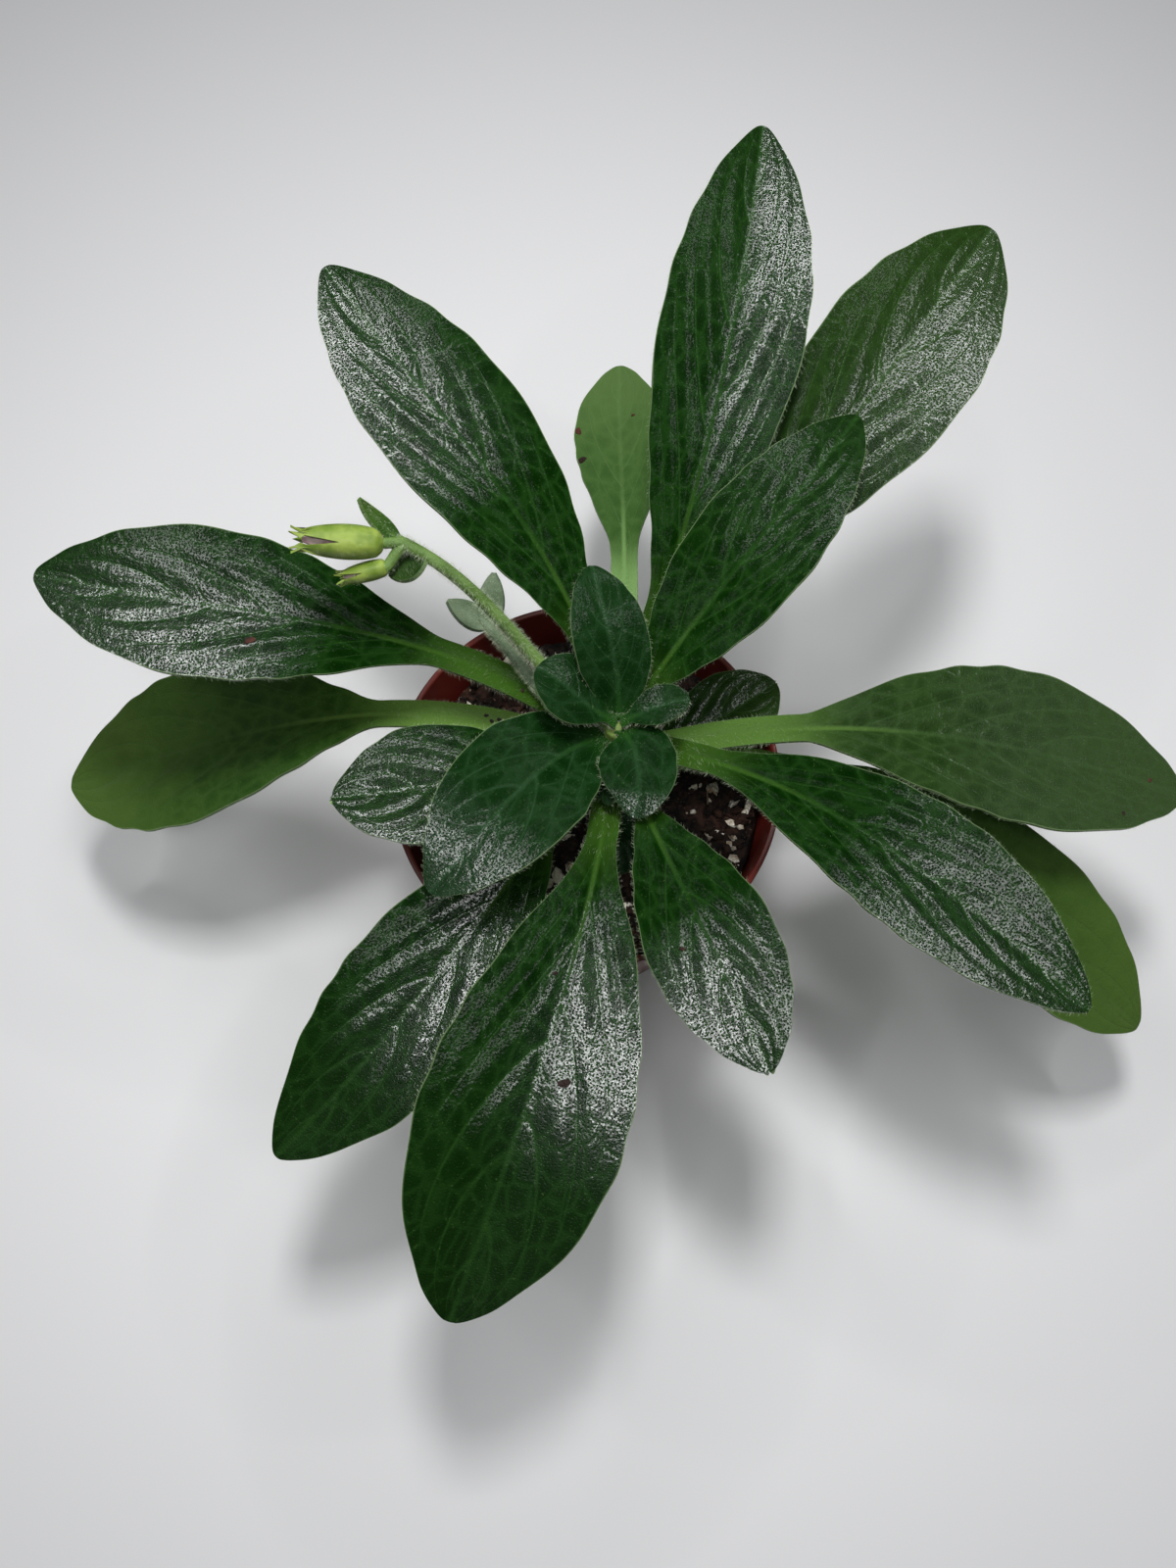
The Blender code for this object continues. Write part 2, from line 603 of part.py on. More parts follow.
def make_stalk(name, stalk, bracts, buds, material):
    """A flower stalk fused with its bracts and the calyxes of its buds."""
    bar = bmesh.new()
    shares = [i / (STALK_POINTS - 1) for i in range(STALK_POINTS)]
    points = [bezier(*midrib(stalk), t) for t in shares]
    outwards = direction(stalk.heading, 0)
    points.insert(0, points[0] + outwards * GAP)
    points[1] = points[0] + outwards * 2 * GAP
    radii = [stalk.radius * MM * blend(STALK_FOOT, STALK_TOP, t) for t in [0.0] + shares]
    tube(bar, points, radii, STALK_SIDES)
    thing = make_object(name, bar, material)
    extras = bmesh.new()
    for bract in bracts:
        add_bract(extras, bract)
    for bud in buds:
        add_calyx(extras, bud)
        link = [points[-3], blend(points[-2], metres(bud.base), 0.5), metres(bud.base)]
        link.append(metres(bud.base).lerp(metres(bud.tip), 0.08))
        tube(extras, link, [PEDICEL_RADIUS] * len(link), STALK_SIDES)
    bmesh.ops.recalc_face_normals(extras, faces=extras.faces)
    guide = make_object(name + "_extras", extras)
    hide_guide(guide)
    join = thing.modifiers.new("bracts and calyxes", "BOOLEAN")
    join.operation = "UNION"
    join.object = guide
    join.use_self = True


def main():
    for thing in list(bpy.data.objects):
        bpy.data.objects.remove(thing)
    make_pot(make_material("pot_plastic", (0.24, 0.045, 0.02), 0.4))
    make_soil(make_material("peat_soil", (0.03, 0.022, 0.018), 0.95))
    make_stem(make_material("stem_green", (0.2, 0.26, 0.08), 0.6))
    green = make_material("leaf_green", (0.045, 0.12, 0.02), 0.45)
    for leaf in LEAVES:
        make_leaf(leaf, green)
    lime = make_material("stalk_green", (0.2, 0.3, 0.07), 0.6)
    make_stalk("flower_stalk_1", TALL_STALK, TALL_BRACTS, BUDS, lime)
    make_stalk("flower_stalk_2", SHORT_STALK, SHORT_BRACTS, (), lime)
    mauve = make_material("corolla_mauve", (0.5, 0.36, 0.45), 0.6)
    for bud in BUDS:
        make_corolla(bud, mauve)


main()
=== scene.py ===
import math
import random

import bpy
import numpy as np
from mathutils import Matrix, Vector, noise


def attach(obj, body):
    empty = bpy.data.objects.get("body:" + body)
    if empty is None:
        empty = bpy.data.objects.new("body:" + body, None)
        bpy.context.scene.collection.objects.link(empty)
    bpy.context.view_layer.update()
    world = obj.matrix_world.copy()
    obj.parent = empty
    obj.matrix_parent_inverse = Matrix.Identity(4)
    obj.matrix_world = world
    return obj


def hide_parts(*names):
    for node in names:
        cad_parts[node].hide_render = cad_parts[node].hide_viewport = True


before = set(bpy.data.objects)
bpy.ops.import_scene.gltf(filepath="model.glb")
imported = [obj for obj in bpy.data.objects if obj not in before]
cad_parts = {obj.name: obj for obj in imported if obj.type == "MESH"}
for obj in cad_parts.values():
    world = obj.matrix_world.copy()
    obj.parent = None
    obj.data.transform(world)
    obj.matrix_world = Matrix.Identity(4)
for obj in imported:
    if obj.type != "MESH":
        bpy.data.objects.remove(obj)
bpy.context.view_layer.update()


# Pot: a round nursery pot of thin red-brown plastic, injection moulded in one piece. Its collar
# stands out a little from the tapered body, and four drain holes go through the flat base.
MM = 0.001
POT_SIDES = 128
POT_HEIGHT = 65 * MM
POT_RIM = 38 * MM
POT_BASE = 29 * MM
POT_WALL = 1.2 * MM
POT_FLOOR = 1.6 * MM
COLLAR_HEIGHT = 9.5 * MM
COLLAR_STEP = 0.9 * MM
DRAIN_HOLES = 4
DRAIN_RADIUS = 4 * MM
DRAIN_RING = 18 * MM
FOOT_BEVEL = 1 * MM
LIP_STEP = 0.5 * MM
EDGE_ROUNDING = 0.4 * MM


class Field:
    """A value that varies over a surface. Arithmetic on it adds Math nodes."""

    def __init__(self, finish, socket):
        self.finish = finish
        self.socket = socket

    def maths(self, operation, *values):
        inputs = dict(enumerate(values))
        return self.finish.node("ShaderNodeMath", {"operation": operation}, inputs)

    def __add__(self, other):
        return self.maths("ADD", self, other)

    def __radd__(self, other):
        return self.maths("ADD", other, self)

    def __sub__(self, other):
        return self.maths("SUBTRACT", self, other)

    def __rsub__(self, other):
        return self.maths("SUBTRACT", other, self)

    def __mul__(self, other):
        return self.maths("MULTIPLY", self, other)

    def __rmul__(self, other):
        return self.maths("MULTIPLY", other, self)

    def __truediv__(self, other):
        return self.maths("DIVIDE", self, other)

    def __pow__(self, other):
        return self.maths("POWER", self, other)

    def __abs__(self):
        return self.maths("ABSOLUTE", self)

    def ramp(self, low, high):
        """0 up to low and 1 from high on, smooth between. It falls where low is above high."""
        inputs = {"Value": self, "From Min": low, "From Max": high}
        return self.finish.node(
            "ShaderNodeMapRange", {"interpolation_type": "SMOOTHSTEP"}, inputs
        )


class Finish:
    """A Principled material. Its plain values are set on the shader's own sockets."""

    def __init__(self, name, **plain):
        self.material = bpy.data.materials.new(name)
        self.material.use_nodes = True
        self.tree = self.material.node_tree
        self.shader = self.tree.nodes["Principled BSDF"]
        for socket, value in plain.items():
            self.shader.inputs[socket.replace("_", " ")].default_value = value

    def feed(self, node, inputs):
        """Gives a node's sockets their values or links."""
        for key, value in inputs.items():
            if isinstance(value, Field):
                self.tree.links.new(value.socket, node.inputs[key])
            else:
                node.inputs[key].default_value = value

    def node(self, kind, settings, inputs, out=0):
        """Adds a node, with its settings first, and returns one of its outputs."""
        node = self.tree.nodes.new(kind)
        for key, value in settings.items():
            setattr(node, key, value)
        self.feed(node, inputs)
        return Field(self, node.outputs[out])

    def place(self):
        """The place in the object's own coordinates."""
        return self.node("ShaderNodeTexCoord", {}, {}, "Object")

    def mottle(self, size, detail=2.0, where=None):
        """Cloudy noise from 0 to 1 with patches of one size in metres."""
        inputs = {"Vector": where or self.place(), "Scale": 1 / size, "Detail": detail}
        return self.node("ShaderNodeTexNoise", {}, inputs, "Fac")

    def cells(self, size, feature="F1", where=None):
        """The distance to the nearest point, or edge, of cells of one size in metres."""
        inputs = {"Vector": where or self.place(), "Scale": 1 / size}
        return self.node("ShaderNodeTexVoronoi", {"feature": feature}, inputs, "Distance")

    def blend(self, share, first, second):
        """A colour that goes from the first to the second as the share goes from 0 to 1."""
        return self.node("ShaderNodeMix", {"data_type": "RGBA"}, {0: share, 6: first, 7: second}, 2)

    def relief(self, height):
        """Feeds the shader's normal from a height in millimetres."""
        bump = self.node("ShaderNodeBump", {}, {"Height": height, "Distance": MM}, "Normal")
        self.feed(self.shader, {"Normal": bump})


def tint(red, green, blue):
    """A colour from screen values of 0 to 255."""
    linear = [(c / 255 / 12.92) if c < 11 else ((c / 255 + 0.055) / 1.055) ** 2.4
              for c in (red, green, blue)]
    return (*linear, 1.0)


def pick_only(piece):
    """Selects one object and makes it the active one."""
    bpy.ops.object.select_all(action="DESELECT")
    piece.select_set(True)
    bpy.context.view_layer.objects.active = piece


def shape_with(piece, kind, **settings):
    """Adds a modifier to a piece and applies it."""
    pick_only(piece)
    modifier = piece.modifiers.new(kind.lower(), kind)
    for key, value in settings.items():
        setattr(modifier, key, value)
    bpy.ops.object.modifier_apply(modifier=modifier.name)


def name_piece(name):
    """Names the object that an operator has just added, and returns it."""
    piece = bpy.context.object
    piece.name = name
    piece.data.name = name
    return piece


def draw_up(name, sides, steps):
    """Extrudes a disc through steps of (radius, centre), as a body closed at both ends."""
    bpy.ops.object.select_all(action="DESELECT")
    radius, centre = steps[0]
    bpy.ops.mesh.primitive_circle_add(
        vertices=sides, radius=radius, fill_type="NGON", location=centre
    )
    piece = name_piece(name)
    bpy.ops.object.transform_apply(location=True, rotation=False, scale=False)
    bpy.ops.object.mode_set(mode="EDIT")
    bpy.ops.mesh.select_all(action="SELECT")
    for following, spot in steps[1:]:
        move = Vector(spot) - Vector(centre)
        bpy.ops.mesh.extrude_region_move(TRANSFORM_OT_translate={"value": move})
        share = following / radius
        bpy.ops.transform.resize(value=(share, share, 1))
        radius = following
        centre = spot
    bpy.ops.object.mode_set(mode="OBJECT")
    return piece


def inner_radius(height):
    """The pot's inner radius at a height."""
    return POT_BASE - POT_WALL + (POT_RIM - POT_BASE) / POT_HEIGHT * height


def cut_with(piece, cutter):
    """Cuts one object out of another and removes it."""
    shape_with(piece, "BOOLEAN", operation="DIFFERENCE", object=cutter)
    bpy.data.objects.remove(cutter)


collar_z = POT_HEIGHT - COLLAR_HEIGHT
under_collar = POT_RIM - 2 * COLLAR_STEP
pot = draw_up("nursery_pot", POT_SIDES, [
    (POT_BASE - FOOT_BEVEL, (0, 0, 0)),
    (POT_BASE, (0, 0, FOOT_BEVEL)),
    (under_collar, (0, 0, collar_z - LIP_STEP)),
    (POT_RIM - LIP_STEP, (0, 0, collar_z)),
    (POT_RIM, (0, 0, POT_HEIGHT)),
    (inner_radius(POT_HEIGHT), (0, 0, POT_HEIGHT)),
    (inner_radius(POT_FLOOR + FOOT_BEVEL), (0, 0, POT_FLOOR + FOOT_BEVEL)),
    (inner_radius(POT_FLOOR) - FOOT_BEVEL, (0, 0, POT_FLOOR)),
])
for k in range(DRAIN_HOLES):
    turn = math.tau * (k + 0.5) / DRAIN_HOLES
    bpy.ops.mesh.primitive_cylinder_add(
        vertices=32, radius=DRAIN_RADIUS, depth=4 * POT_FLOOR,
        location=(DRAIN_RING * math.cos(turn), DRAIN_RING * math.sin(turn), 0),
    )
    cut_with(pot, bpy.context.object)
shape_with(
    pot, "BEVEL", width=EDGE_ROUNDING, segments=3, limit_method="ANGLE", angle_limit=0.5
)
bpy.ops.object.shade_smooth_by_angle(angle=math.radians(40))

plastic = Finish("red_brown_plastic", Metallic=0.0)
height = plastic.node("ShaderNodeSeparateXYZ", {}, {0: plastic.place()}, "Z") / MM
cloud = plastic.mottle(14 * MM)
dust = plastic.mottle(0.7 * MM, 3.0).ramp(0.6, 0.75)
splash = dust * height.ramp(66, 57)
colour = plastic.blend(cloud, tint(74, 20, 16), tint(92, 30, 23))
plastic.feed(plastic.shader, {
    "Base Color": plastic.blend(splash * 0.8, colour, tint(60, 40, 32)),
    "Roughness": 0.34 + cloud * 0.14 + splash * 0.35,
})
plastic.relief(plastic.mottle(0.5 * MM) * 0.02 + plastic.mottle(9 * MM) * 0.12)
pot.data.materials.append(plastic.material)
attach(pot, "root")
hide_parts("pot")


# Soil: dark peat with a low mound at the stem and crumbs all over, pressed into the pot by
# hand. It is one body with a plain hole for the stem.
SOIL_HEIGHT = 56 * MM
SOIL_MOUND = 2.5 * MM
SOIL_RELIEF = 1.3 * MM
SOIL_RINGS = 40
SOIL_SIDES = 144
SOIL_CLEARANCE = 0.3 * MM
FINEST_RELIEF = 0.8 * MM
STEM_LINE = Vector((3.0, 0.5, 56)) * MM
STEM_TIP = Vector((5.7, 0.2, 91.0)) * MM
STEM_RADIUS = 3.4 * MM
HOLE_CLEARANCE = 0.6 * MM
HOLE_LENGTH = 40 * MM
HOLE_LIFT = 6 * MM
SMOOTHED = math.radians(60)


def soil_top(x, y):
    """The soil's height at a place, without its finest crumbs."""
    mound = SOIL_MOUND * max(0.0, 1 - math.hypot(x, y) / POT_RIM)
    crumbs = noise.fractal(Vector((x, y, 0)) / (6 * MM), 0.8, 2.0, 3)
    return SOIL_HEIGHT + mound + SOIL_RELIEF * crumbs


edge_z = SOIL_HEIGHT - 2 * SOIL_RELIEF
soil_radius = inner_radius(edge_z) - SOIL_CLEARANCE
soil = draw_up("peat", SOIL_SIDES, [
    (inner_radius(POT_FLOOR) - 1.3 * MM, (0, 0, POT_FLOOR + SOIL_CLEARANCE)),
    (soil_radius, (0, 0, edge_z)),
])
bpy.ops.object.mode_set(mode="EDIT")
for _ in range(SOIL_RINGS - 1):
    bpy.ops.mesh.inset(thickness=soil_radius / SOIL_RINGS, use_even_offset=False)
bpy.ops.object.mode_set(mode="OBJECT")
for point in soil.data.vertices:
    x, y, z = point.co
    if z > SOIL_HEIGHT / 2 and math.hypot(x, y) < soil_radius - 0.1 * MM:
        fine = noise.fractal(point.co / (1.4 * MM), 0.7, 2.0, 3)
        point.co.z = soil_top(x, y) + FINEST_RELIEF * fine
bpy.ops.mesh.primitive_cylinder_add(
    vertices=48, radius=STEM_RADIUS + HOLE_CLEARANCE, depth=HOLE_LENGTH,
    location=STEM_LINE + Vector((0, 0, HOLE_LIFT)),
)
cut_with(soil, bpy.context.object)
bpy.ops.object.shade_smooth_by_angle(angle=SMOOTHED)

peat = Finish("dark_peat", Roughness=0.92, Metallic=0.0)
lumps = peat.mottle(2.2 * MM, 5.0)
fibres = peat.mottle(0.45 * MM, 4.0)
colour = peat.blend(lumps.ramp(0.35, 0.7), tint(10, 6, 5), tint(52, 34, 27))
peat.feed(peat.shader, {
    "Base Color": peat.blend(fibres.ramp(0.62, 0.78), colour, tint(120, 98, 78)),
})
peat.relief(lumps * 0.5 + fibres * 0.3)
soil.data.materials.append(peat.material)
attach(soil, "root")
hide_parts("soil")


# Loose stuff on the soil: white expanded perlite, crumbs of peat and thin brown fibres. Each
# kind is one small lump modelled once, then strewn and half sunk.
STREW_SEED = 11
PERLITE_SEED = 7
PERLITE_RING = 30 * MM
PERLITE_GRAINS = 26
PERLITE_CHIPS = 260
CRUMBS = 1300
FIBRES = 110
FIBRE_SPREAD = 0.86


def strew(name, pattern, places):
    """Copies a pattern to each place, a 4 x 4 matrix, as one mesh, and removes the pattern."""
    corners = np.array([[*v.co, 1.0] for v in pattern.data.vertices])
    faces = [list(face.vertices) for face in pattern.data.polygons]
    places = np.asarray(places, float)
    points = np.einsum("nij,mj->nmi", places, corners)[:, :, :3].reshape(-1, 3)
    mesh = bpy.data.meshes.new(name)
    mesh.from_pydata(
        points.tolist(), [],
        [[i + k * len(corners) for i in face] for k in range(len(places)) for face in faces],
    )
    piece = bpy.data.objects.new(name, mesh)
    bpy.context.scene.collection.objects.link(piece)
    bpy.data.objects.remove(pattern)
    return piece


def lump(subdivisions, roughness):
    """A unit ball roughened into a grain."""
    bpy.ops.object.select_all(action="DESELECT")
    bpy.ops.mesh.primitive_ico_sphere_add(subdivisions=subdivisions, radius=1)
    grain = bpy.context.object
    for point in grain.data.vertices:
        point.co *= 1 + roughness * noise.noise(point.co * 1.7 + Vector((3, 1, 4)))
    return grain


def strewn_place(chance, x, y, size, lift, spread=0.35):
    """A matrix that lays a grain on the soil, turned and squashed at random."""
    turn = Matrix.Rotation(chance.uniform(0, math.tau), 4, Vector(chance.normal(size=3)).normalized())
    sizes = size * (1 + chance.uniform(-spread, spread, 3))
    z = soil_top(x, y) + lift * size
    return Matrix.Translation((x, y, z)) @ turn @ Matrix.Diagonal((*sizes, 1))


def anywhere(chance):
    """A random place on the soil, clear of the stem."""
    while True:
        x, y = chance.uniform(-soil_radius, soil_radius, 2)
        clear = math.hypot(x - STEM_LINE.x, y - STEM_LINE.y) > STEM_RADIUS + 1.6 * MM
        if math.hypot(x, y) < soil_radius - 1.2 * MM and clear:
            return x, y


places = []
chance = np.random.default_rng(STREW_SEED)
drawn = random.Random(PERLITE_SEED)
for _ in range(PERLITE_GRAINS):
    angle = drawn.uniform(0, math.tau)
    distance = PERLITE_RING * math.sqrt(drawn.uniform(0.08, 1))
    size = drawn.uniform(0.9 * MM, 2.0 * MM)
    places.append(strewn_place(
        chance, distance * math.cos(angle), distance * math.sin(angle), size, 0.15
    ))
perlite = strew("perlite", lump(3, 0.5), places)
places = []
for _ in range(PERLITE_CHIPS):
    x, y = anywhere(chance)
    places.append(strewn_place(chance, x, y, chance.uniform(0.3, 1.3) * MM, 0.6, 0.5))
chips = strew("perlite_chips", lump(1, 0.9), places)
pearl = Finish("white_perlite", Roughness=0.85, Metallic=0.0)
pits = pearl.cells(0.45 * MM)
stain = pearl.mottle(2.5 * MM, 3.0)
pearl.feed(pearl.shader, {
    "Base Color": pearl.blend(stain.ramp(0.42, 0.68), tint(226, 220, 206), tint(150, 126, 100)),
})
pearl.relief(pits * 0.25)
for piece in (perlite, chips):
    piece.data.materials.append(pearl.material)
    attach(piece, "root")

places = []
for _ in range(CRUMBS):
    x, y = anywhere(chance)
    places.append(strewn_place(chance, x, y, chance.uniform(0.35, 1.5) * MM, 0.35, 0.5))
crumbs = strew("peat_crumbs", lump(1, 0.9), places)
crumbs.data.materials.append(peat.material)
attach(crumbs, "root")

places = []
for _ in range(FIBRES):
    x, y = anywhere(chance)
    x, y = FIBRE_SPREAD * x, FIBRE_SPREAD * y
    heading = Matrix.Rotation(chance.uniform(0, math.tau), 4, "Z")
    tilt = Matrix.Rotation(chance.normal(0, 0.25), 4, "Y")
    length = chance.uniform(0.8, 2.4) * MM
    width = chance.uniform(0.08, 0.22) * MM
    spot = Matrix.Translation((x, y, soil_top(x, y) + 0.5 * MM))
    places.append(spot @ heading @ tilt @ Matrix.Diagonal((length, width, width, 1)))
fibre = strew("peat_fibres", lump(1, 0.4), places)
straw = Finish("brown_fibre", Roughness=0.8, Metallic=0.0)
straw.feed(straw.shader, {
    "Base Color": straw.blend(straw.mottle(5 * MM), tint(70, 50, 36), tint(168, 140, 108)),
})
straw.relief(straw.mottle(0.3 * MM) * 0.2)
fibre.data.materials.append(straw.material)
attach(fibre, "root")


# Stem: short, fleshy and upright, ringed with the scars of old leaves. It stands in the soil's
# hole, leans a little and narrows at the crown, where the youngest leaves stand.
STEM_FOOT = Vector((3.0, 0.5, 42)) * MM
STEM_TIP_RADIUS = 1.5 * MM
STEM_TAPER_HEIGHT = 83 * MM
STEM_STEPS = 44
SCAR_DEPTH = 0.3 * MM
SCAR_STEPS = 7


def stem_centre(z):
    """The stem's middle at a height."""
    return STEM_LINE.lerp(STEM_TIP, max(0.0, (z - STEM_LINE.z) / (STEM_TIP.z - STEM_LINE.z)))


def stem_radius(z):
    """The stem's radius at a height."""
    share = max(0.0, (z - STEM_TAPER_HEIGHT) / (STEM_TIP.z - STEM_TAPER_HEIGHT))
    return STEM_RADIUS + (STEM_TIP_RADIUS - STEM_RADIUS) * share


steps = [(STEM_RADIUS, STEM_FOOT)]
for i in range(STEM_STEPS - 2):
    spot = STEM_LINE.lerp(STEM_TIP, i / STEM_STEPS)
    scar = SCAR_DEPTH * (0.5 - 0.5 * math.cos(i * math.tau / SCAR_STEPS)) ** 3
    steps.append((stem_radius(spot.z) - scar, spot))
steps.append((0.4 * MM, STEM_LINE.lerp(STEM_TIP, (STEM_STEPS - 2) / STEM_STEPS)))
stem = draw_up("short_stem", 40, steps)
bpy.ops.object.shade_smooth_by_angle(angle=SMOOTHED)

bark = Finish("green_stem", Roughness=0.55, Metallic=0.0)
height = bark.node("ShaderNodeSeparateXYZ", {}, {0: bark.place()}, "Z") / MM
rough = bark.mottle(2 * MM, 4.0)
old = (height + rough * 12).ramp(82, 66)
colour = bark.blend(rough, tint(92, 118, 52), tint(124, 146, 74))
bark.feed(bark.shader, {
    "Base Color": bark.blend(old, colour, tint(104, 84, 54)),
    "Roughness": 0.5 + old * 0.25,
})
bark.relief(rough * 0.3 + bark.mottle(0.4 * MM) * 0.1)
stem.data.materials.append(bark.material)
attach(stem, "root")
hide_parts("stem")


# Leaves: thick and brittle, dark green above and pale below, in opposite pairs. The midrib and
# the side veins are sunk, the blade swells between them, and the surface is finely pebbled.
# Each is modelled flat from its stalk at x = 0 and then bent along its midrib.
LEAVES = (
    # In millimetres and degrees, and shares of the length or blade: name, height, heading, rise,
    # azimuth, reach, tip height, tip heading, droop, width, stalk, widest, roll, age, where the
    # gloss begins and fades, gloss, its lean to one half.
    ("leaf_01", 90.5, 163, 14, 152, 16, 97, 152, 5, 11, 0.10, 0.55, 12, "young", 0.10, 1.00, 0.12, 0.00),
    ("leaf_02", 90.5, 15, 20, 13, 12.5, 94, 5, 5, 6.2, 0.12, 0.52, 0, "young", 0.10, 1.00, 0.15, 0.00),
    ("leaf_03", 89.0, 84, 42, 101, 25, 102, 100, 10, 12.6, 0.05, 0.47, 8, "young", 0.10, 1.00, 0.06, 0.00),
    ("leaf_04", 89.0, -52, 20, -82, 17, 88, -110, 25, 12.5, 0.08, 0.38, 8, "young", 0.70, 1.00, 0.60, 0.00),
    ("leaf_05", 86.3, -157, 20, -137, 44, 88, -137, 22, 22.5, 0.04, 0.44, 0, "young", 0.55, 1.00, 0.60, 0.00),
    ("leaf_06", 86.5, 52, 30, 51, 68, 106, 56, 5, 21, 0.12, 0.49, 0, "grown", 0.40, 1.00, 0.16, 0.00),
    ("leaf_07", 84.2, 103, 19, 123, 99, 110, 125, -8, 26, 0.15, 0.56, -6, "grown", 0.36, 1.00, 1.00, 0.35),
    ("leaf_08", 84.0, -73, 10, -68, 64, 85, -69, 8, 21, 0.20, 0.56, 10, "grown", 0.42, 1.00, 1.00, -0.15),
    ("leaf_09", 81.6, 148, 19, 166, 107, 97, 166, 0, 27, 0.30, 0.57, -12, "grown", 0.28, 1.00, 0.90, 0.30),
    ("leaf_10", 81.6, -12, 13, -33, 91, 87, -44, 4, 23, 0.18, 0.55, 4, "grown", 0.35, 1.00, 0.50, -0.15),
    ("leaf_11", 79.2, -165, 10, -167, 52, 84, -175, 0, 22, 0.18, 0.57, 6, "grown", 0.30, 1.00, 0.90, 0.20),
    ("leaf_12", 79.5, 68, 26, 76, 112, 118, 83, -10, 26, 0.20, 0.57, 6, "grown", 0.22, 1.00, 0.85, -1.00),
    ("leaf_13", 78.5, -93, 25, -106, 101, 71, -112, 27, 33, 0.18, 0.58, -12, "grown", 0.10, 0.55, 1.00, 0.60),
    ("leaf_14", 76.2, 54, 18, 53, 118, 108, 55, -8, 30, 0.27, 0.61, 10, "ripe", 0.20, 1.00, 0.70, -0.50),
    ("leaf_15", 75.8, -126, 11, -130, 93, 65, -138, 16, 27, 0.20, 0.50, -12, "grown", 0.10, 0.60, 1.00, 0.35),
    ("leaf_16", 73.2, 160, 14, 176, 119, 38, 180, 30, 33, 0.34, 0.56, -4, "low", 0.10, 1.00, 0.20, 0.00),
    ("leaf_17", 73.2, 10, 18, -2, 111, 64, -11, 18, 31, 0.30, 0.55, -3, "old", 0.30, 1.00, 0.70, 0.00),
    ("leaf_18", 69.8, 8, 12, -22, 117, 34, -34, 35, 28, 0.18, 0.64, 0, "low", 0.10, 1.00, 0.16, 0.00),
    ("leaf_19", 68.0, 80, 12, 89, 101, 62, 88, 10, 19, 0.42, 0.60, -8, "pale", 0.10, 1.00, 0.25, 0.00),
    ("leaf_20", 65.5, 16, 15, 29, 36, 70, 36, 5, 15, 0.15, 0.60, 4, "ripe", 0.10, 1.00, 0.12, 0.00),
    ("leaf_21", 72.0, -92, 10, -88, 13, 71, -88, 30, 7, 0.12, 0.60, 0, "young", 0.10, 1.00, 0.05, 0.00),
    ("leaf_22", 63.0, -88, 10, -87, 19, 61, -88, 20, 9, 0.12, 0.60, 0, "young", 0.10, 1.00, 0.05, 0.00),
    ("leaf_23", 85.9, -103, 5, -98, 14, 86, -92, 30, 5, 0.10, 0.55, 50, "young", 0.10, 1.00, 0.20, 0.00),
)
LEAF_ROWS = 120
LEAF_COLUMNS = 32
FULL_LENGTH = 55 * MM
FULL_TEETH = 7
SMALL_TEETH = 4
SMALL_THICKNESS_SHARE = 0.75
HANDLE_SHARE = 0.36
CLASP_DEPTH = 1.3 * MM
BLADE_FOLD = math.tan(math.radians(12))
BLADE_SWELL = 0.08
BLADE_THICKNESS = 1.3 * MM
MARGIN_THICKNESS = 0.65 * MM
PETIOLE_THICKNESS = 2.5 * MM
PETIOLE_HALF_LEAST = 0.7 * MM
PETIOLE_HALF_MOST = 2.7 * MM
PETIOLE_GROWTH = 0.02
RIB_GROOVE = 1.1 * MM
TIP_TAPER = 0.85
TOOTH_SHARE = 0.0065
TIP_ROUNDING = 1.2 * MM
PIT_SPACING = 0.55
VEIN_PAIRS = 4.6
VEIN_ADVANCE = 0.6
VEIN_CURVE = 1.6
ODD_SIDE = 0.35
MARGIN_WAVE = 0.02
QUILTING = {"young": 0.010, "grown": 0.032, "ripe": 0.032, "old": 0.028, "low": 0.028,
            "pale": 0.012}


def direction(azimuth, elevation):
    """The unit vector at an azimuth and elevation in degrees."""
    a = math.radians(azimuth)
    e = math.radians(elevation)
    return Vector((math.cos(a) * math.cos(e), math.sin(a) * math.cos(e), math.sin(e)))


def midrib(height, heading, rise, azimuth, reach, tip_height, tip_heading, droop):
    """A midrib, or a stalk, as a cubic curve: its start, two handles and its tip."""
    height = height * MM
    start = stem_centre(height) + direction(heading, 0) * (stem_radius(height) - CLASP_DEPTH)
    tip = STEM_TIP + direction(azimuth, 0) * reach * MM
    tip.z = tip_height * MM
    handle = (tip - start).length * HANDLE_SHARE
    first = start + direction(heading, rise) * handle
    second = tip - direction(tip_heading, -droop) * handle
    return start, first, second, tip


def draw_curve(start, first, second, tip):
    """A curve object of one cubic, made from the curve primitive."""
    bpy.ops.object.select_all(action="DESELECT")
    bpy.ops.curve.primitive_bezier_curve_add()
    curve = bpy.context.object
    curve.data.twist_mode = "Z_UP"
    curve.data.resolution_u = 32
    base, end = curve.data.splines[0].bezier_points
    for point, place, left, right in ((base, start, start, first), (end, tip, second, tip)):
        point.handle_left_type = "FREE"
        point.handle_right_type = "FREE"
        point.co = place
        point.handle_left = left
        point.handle_right = right
    return curve


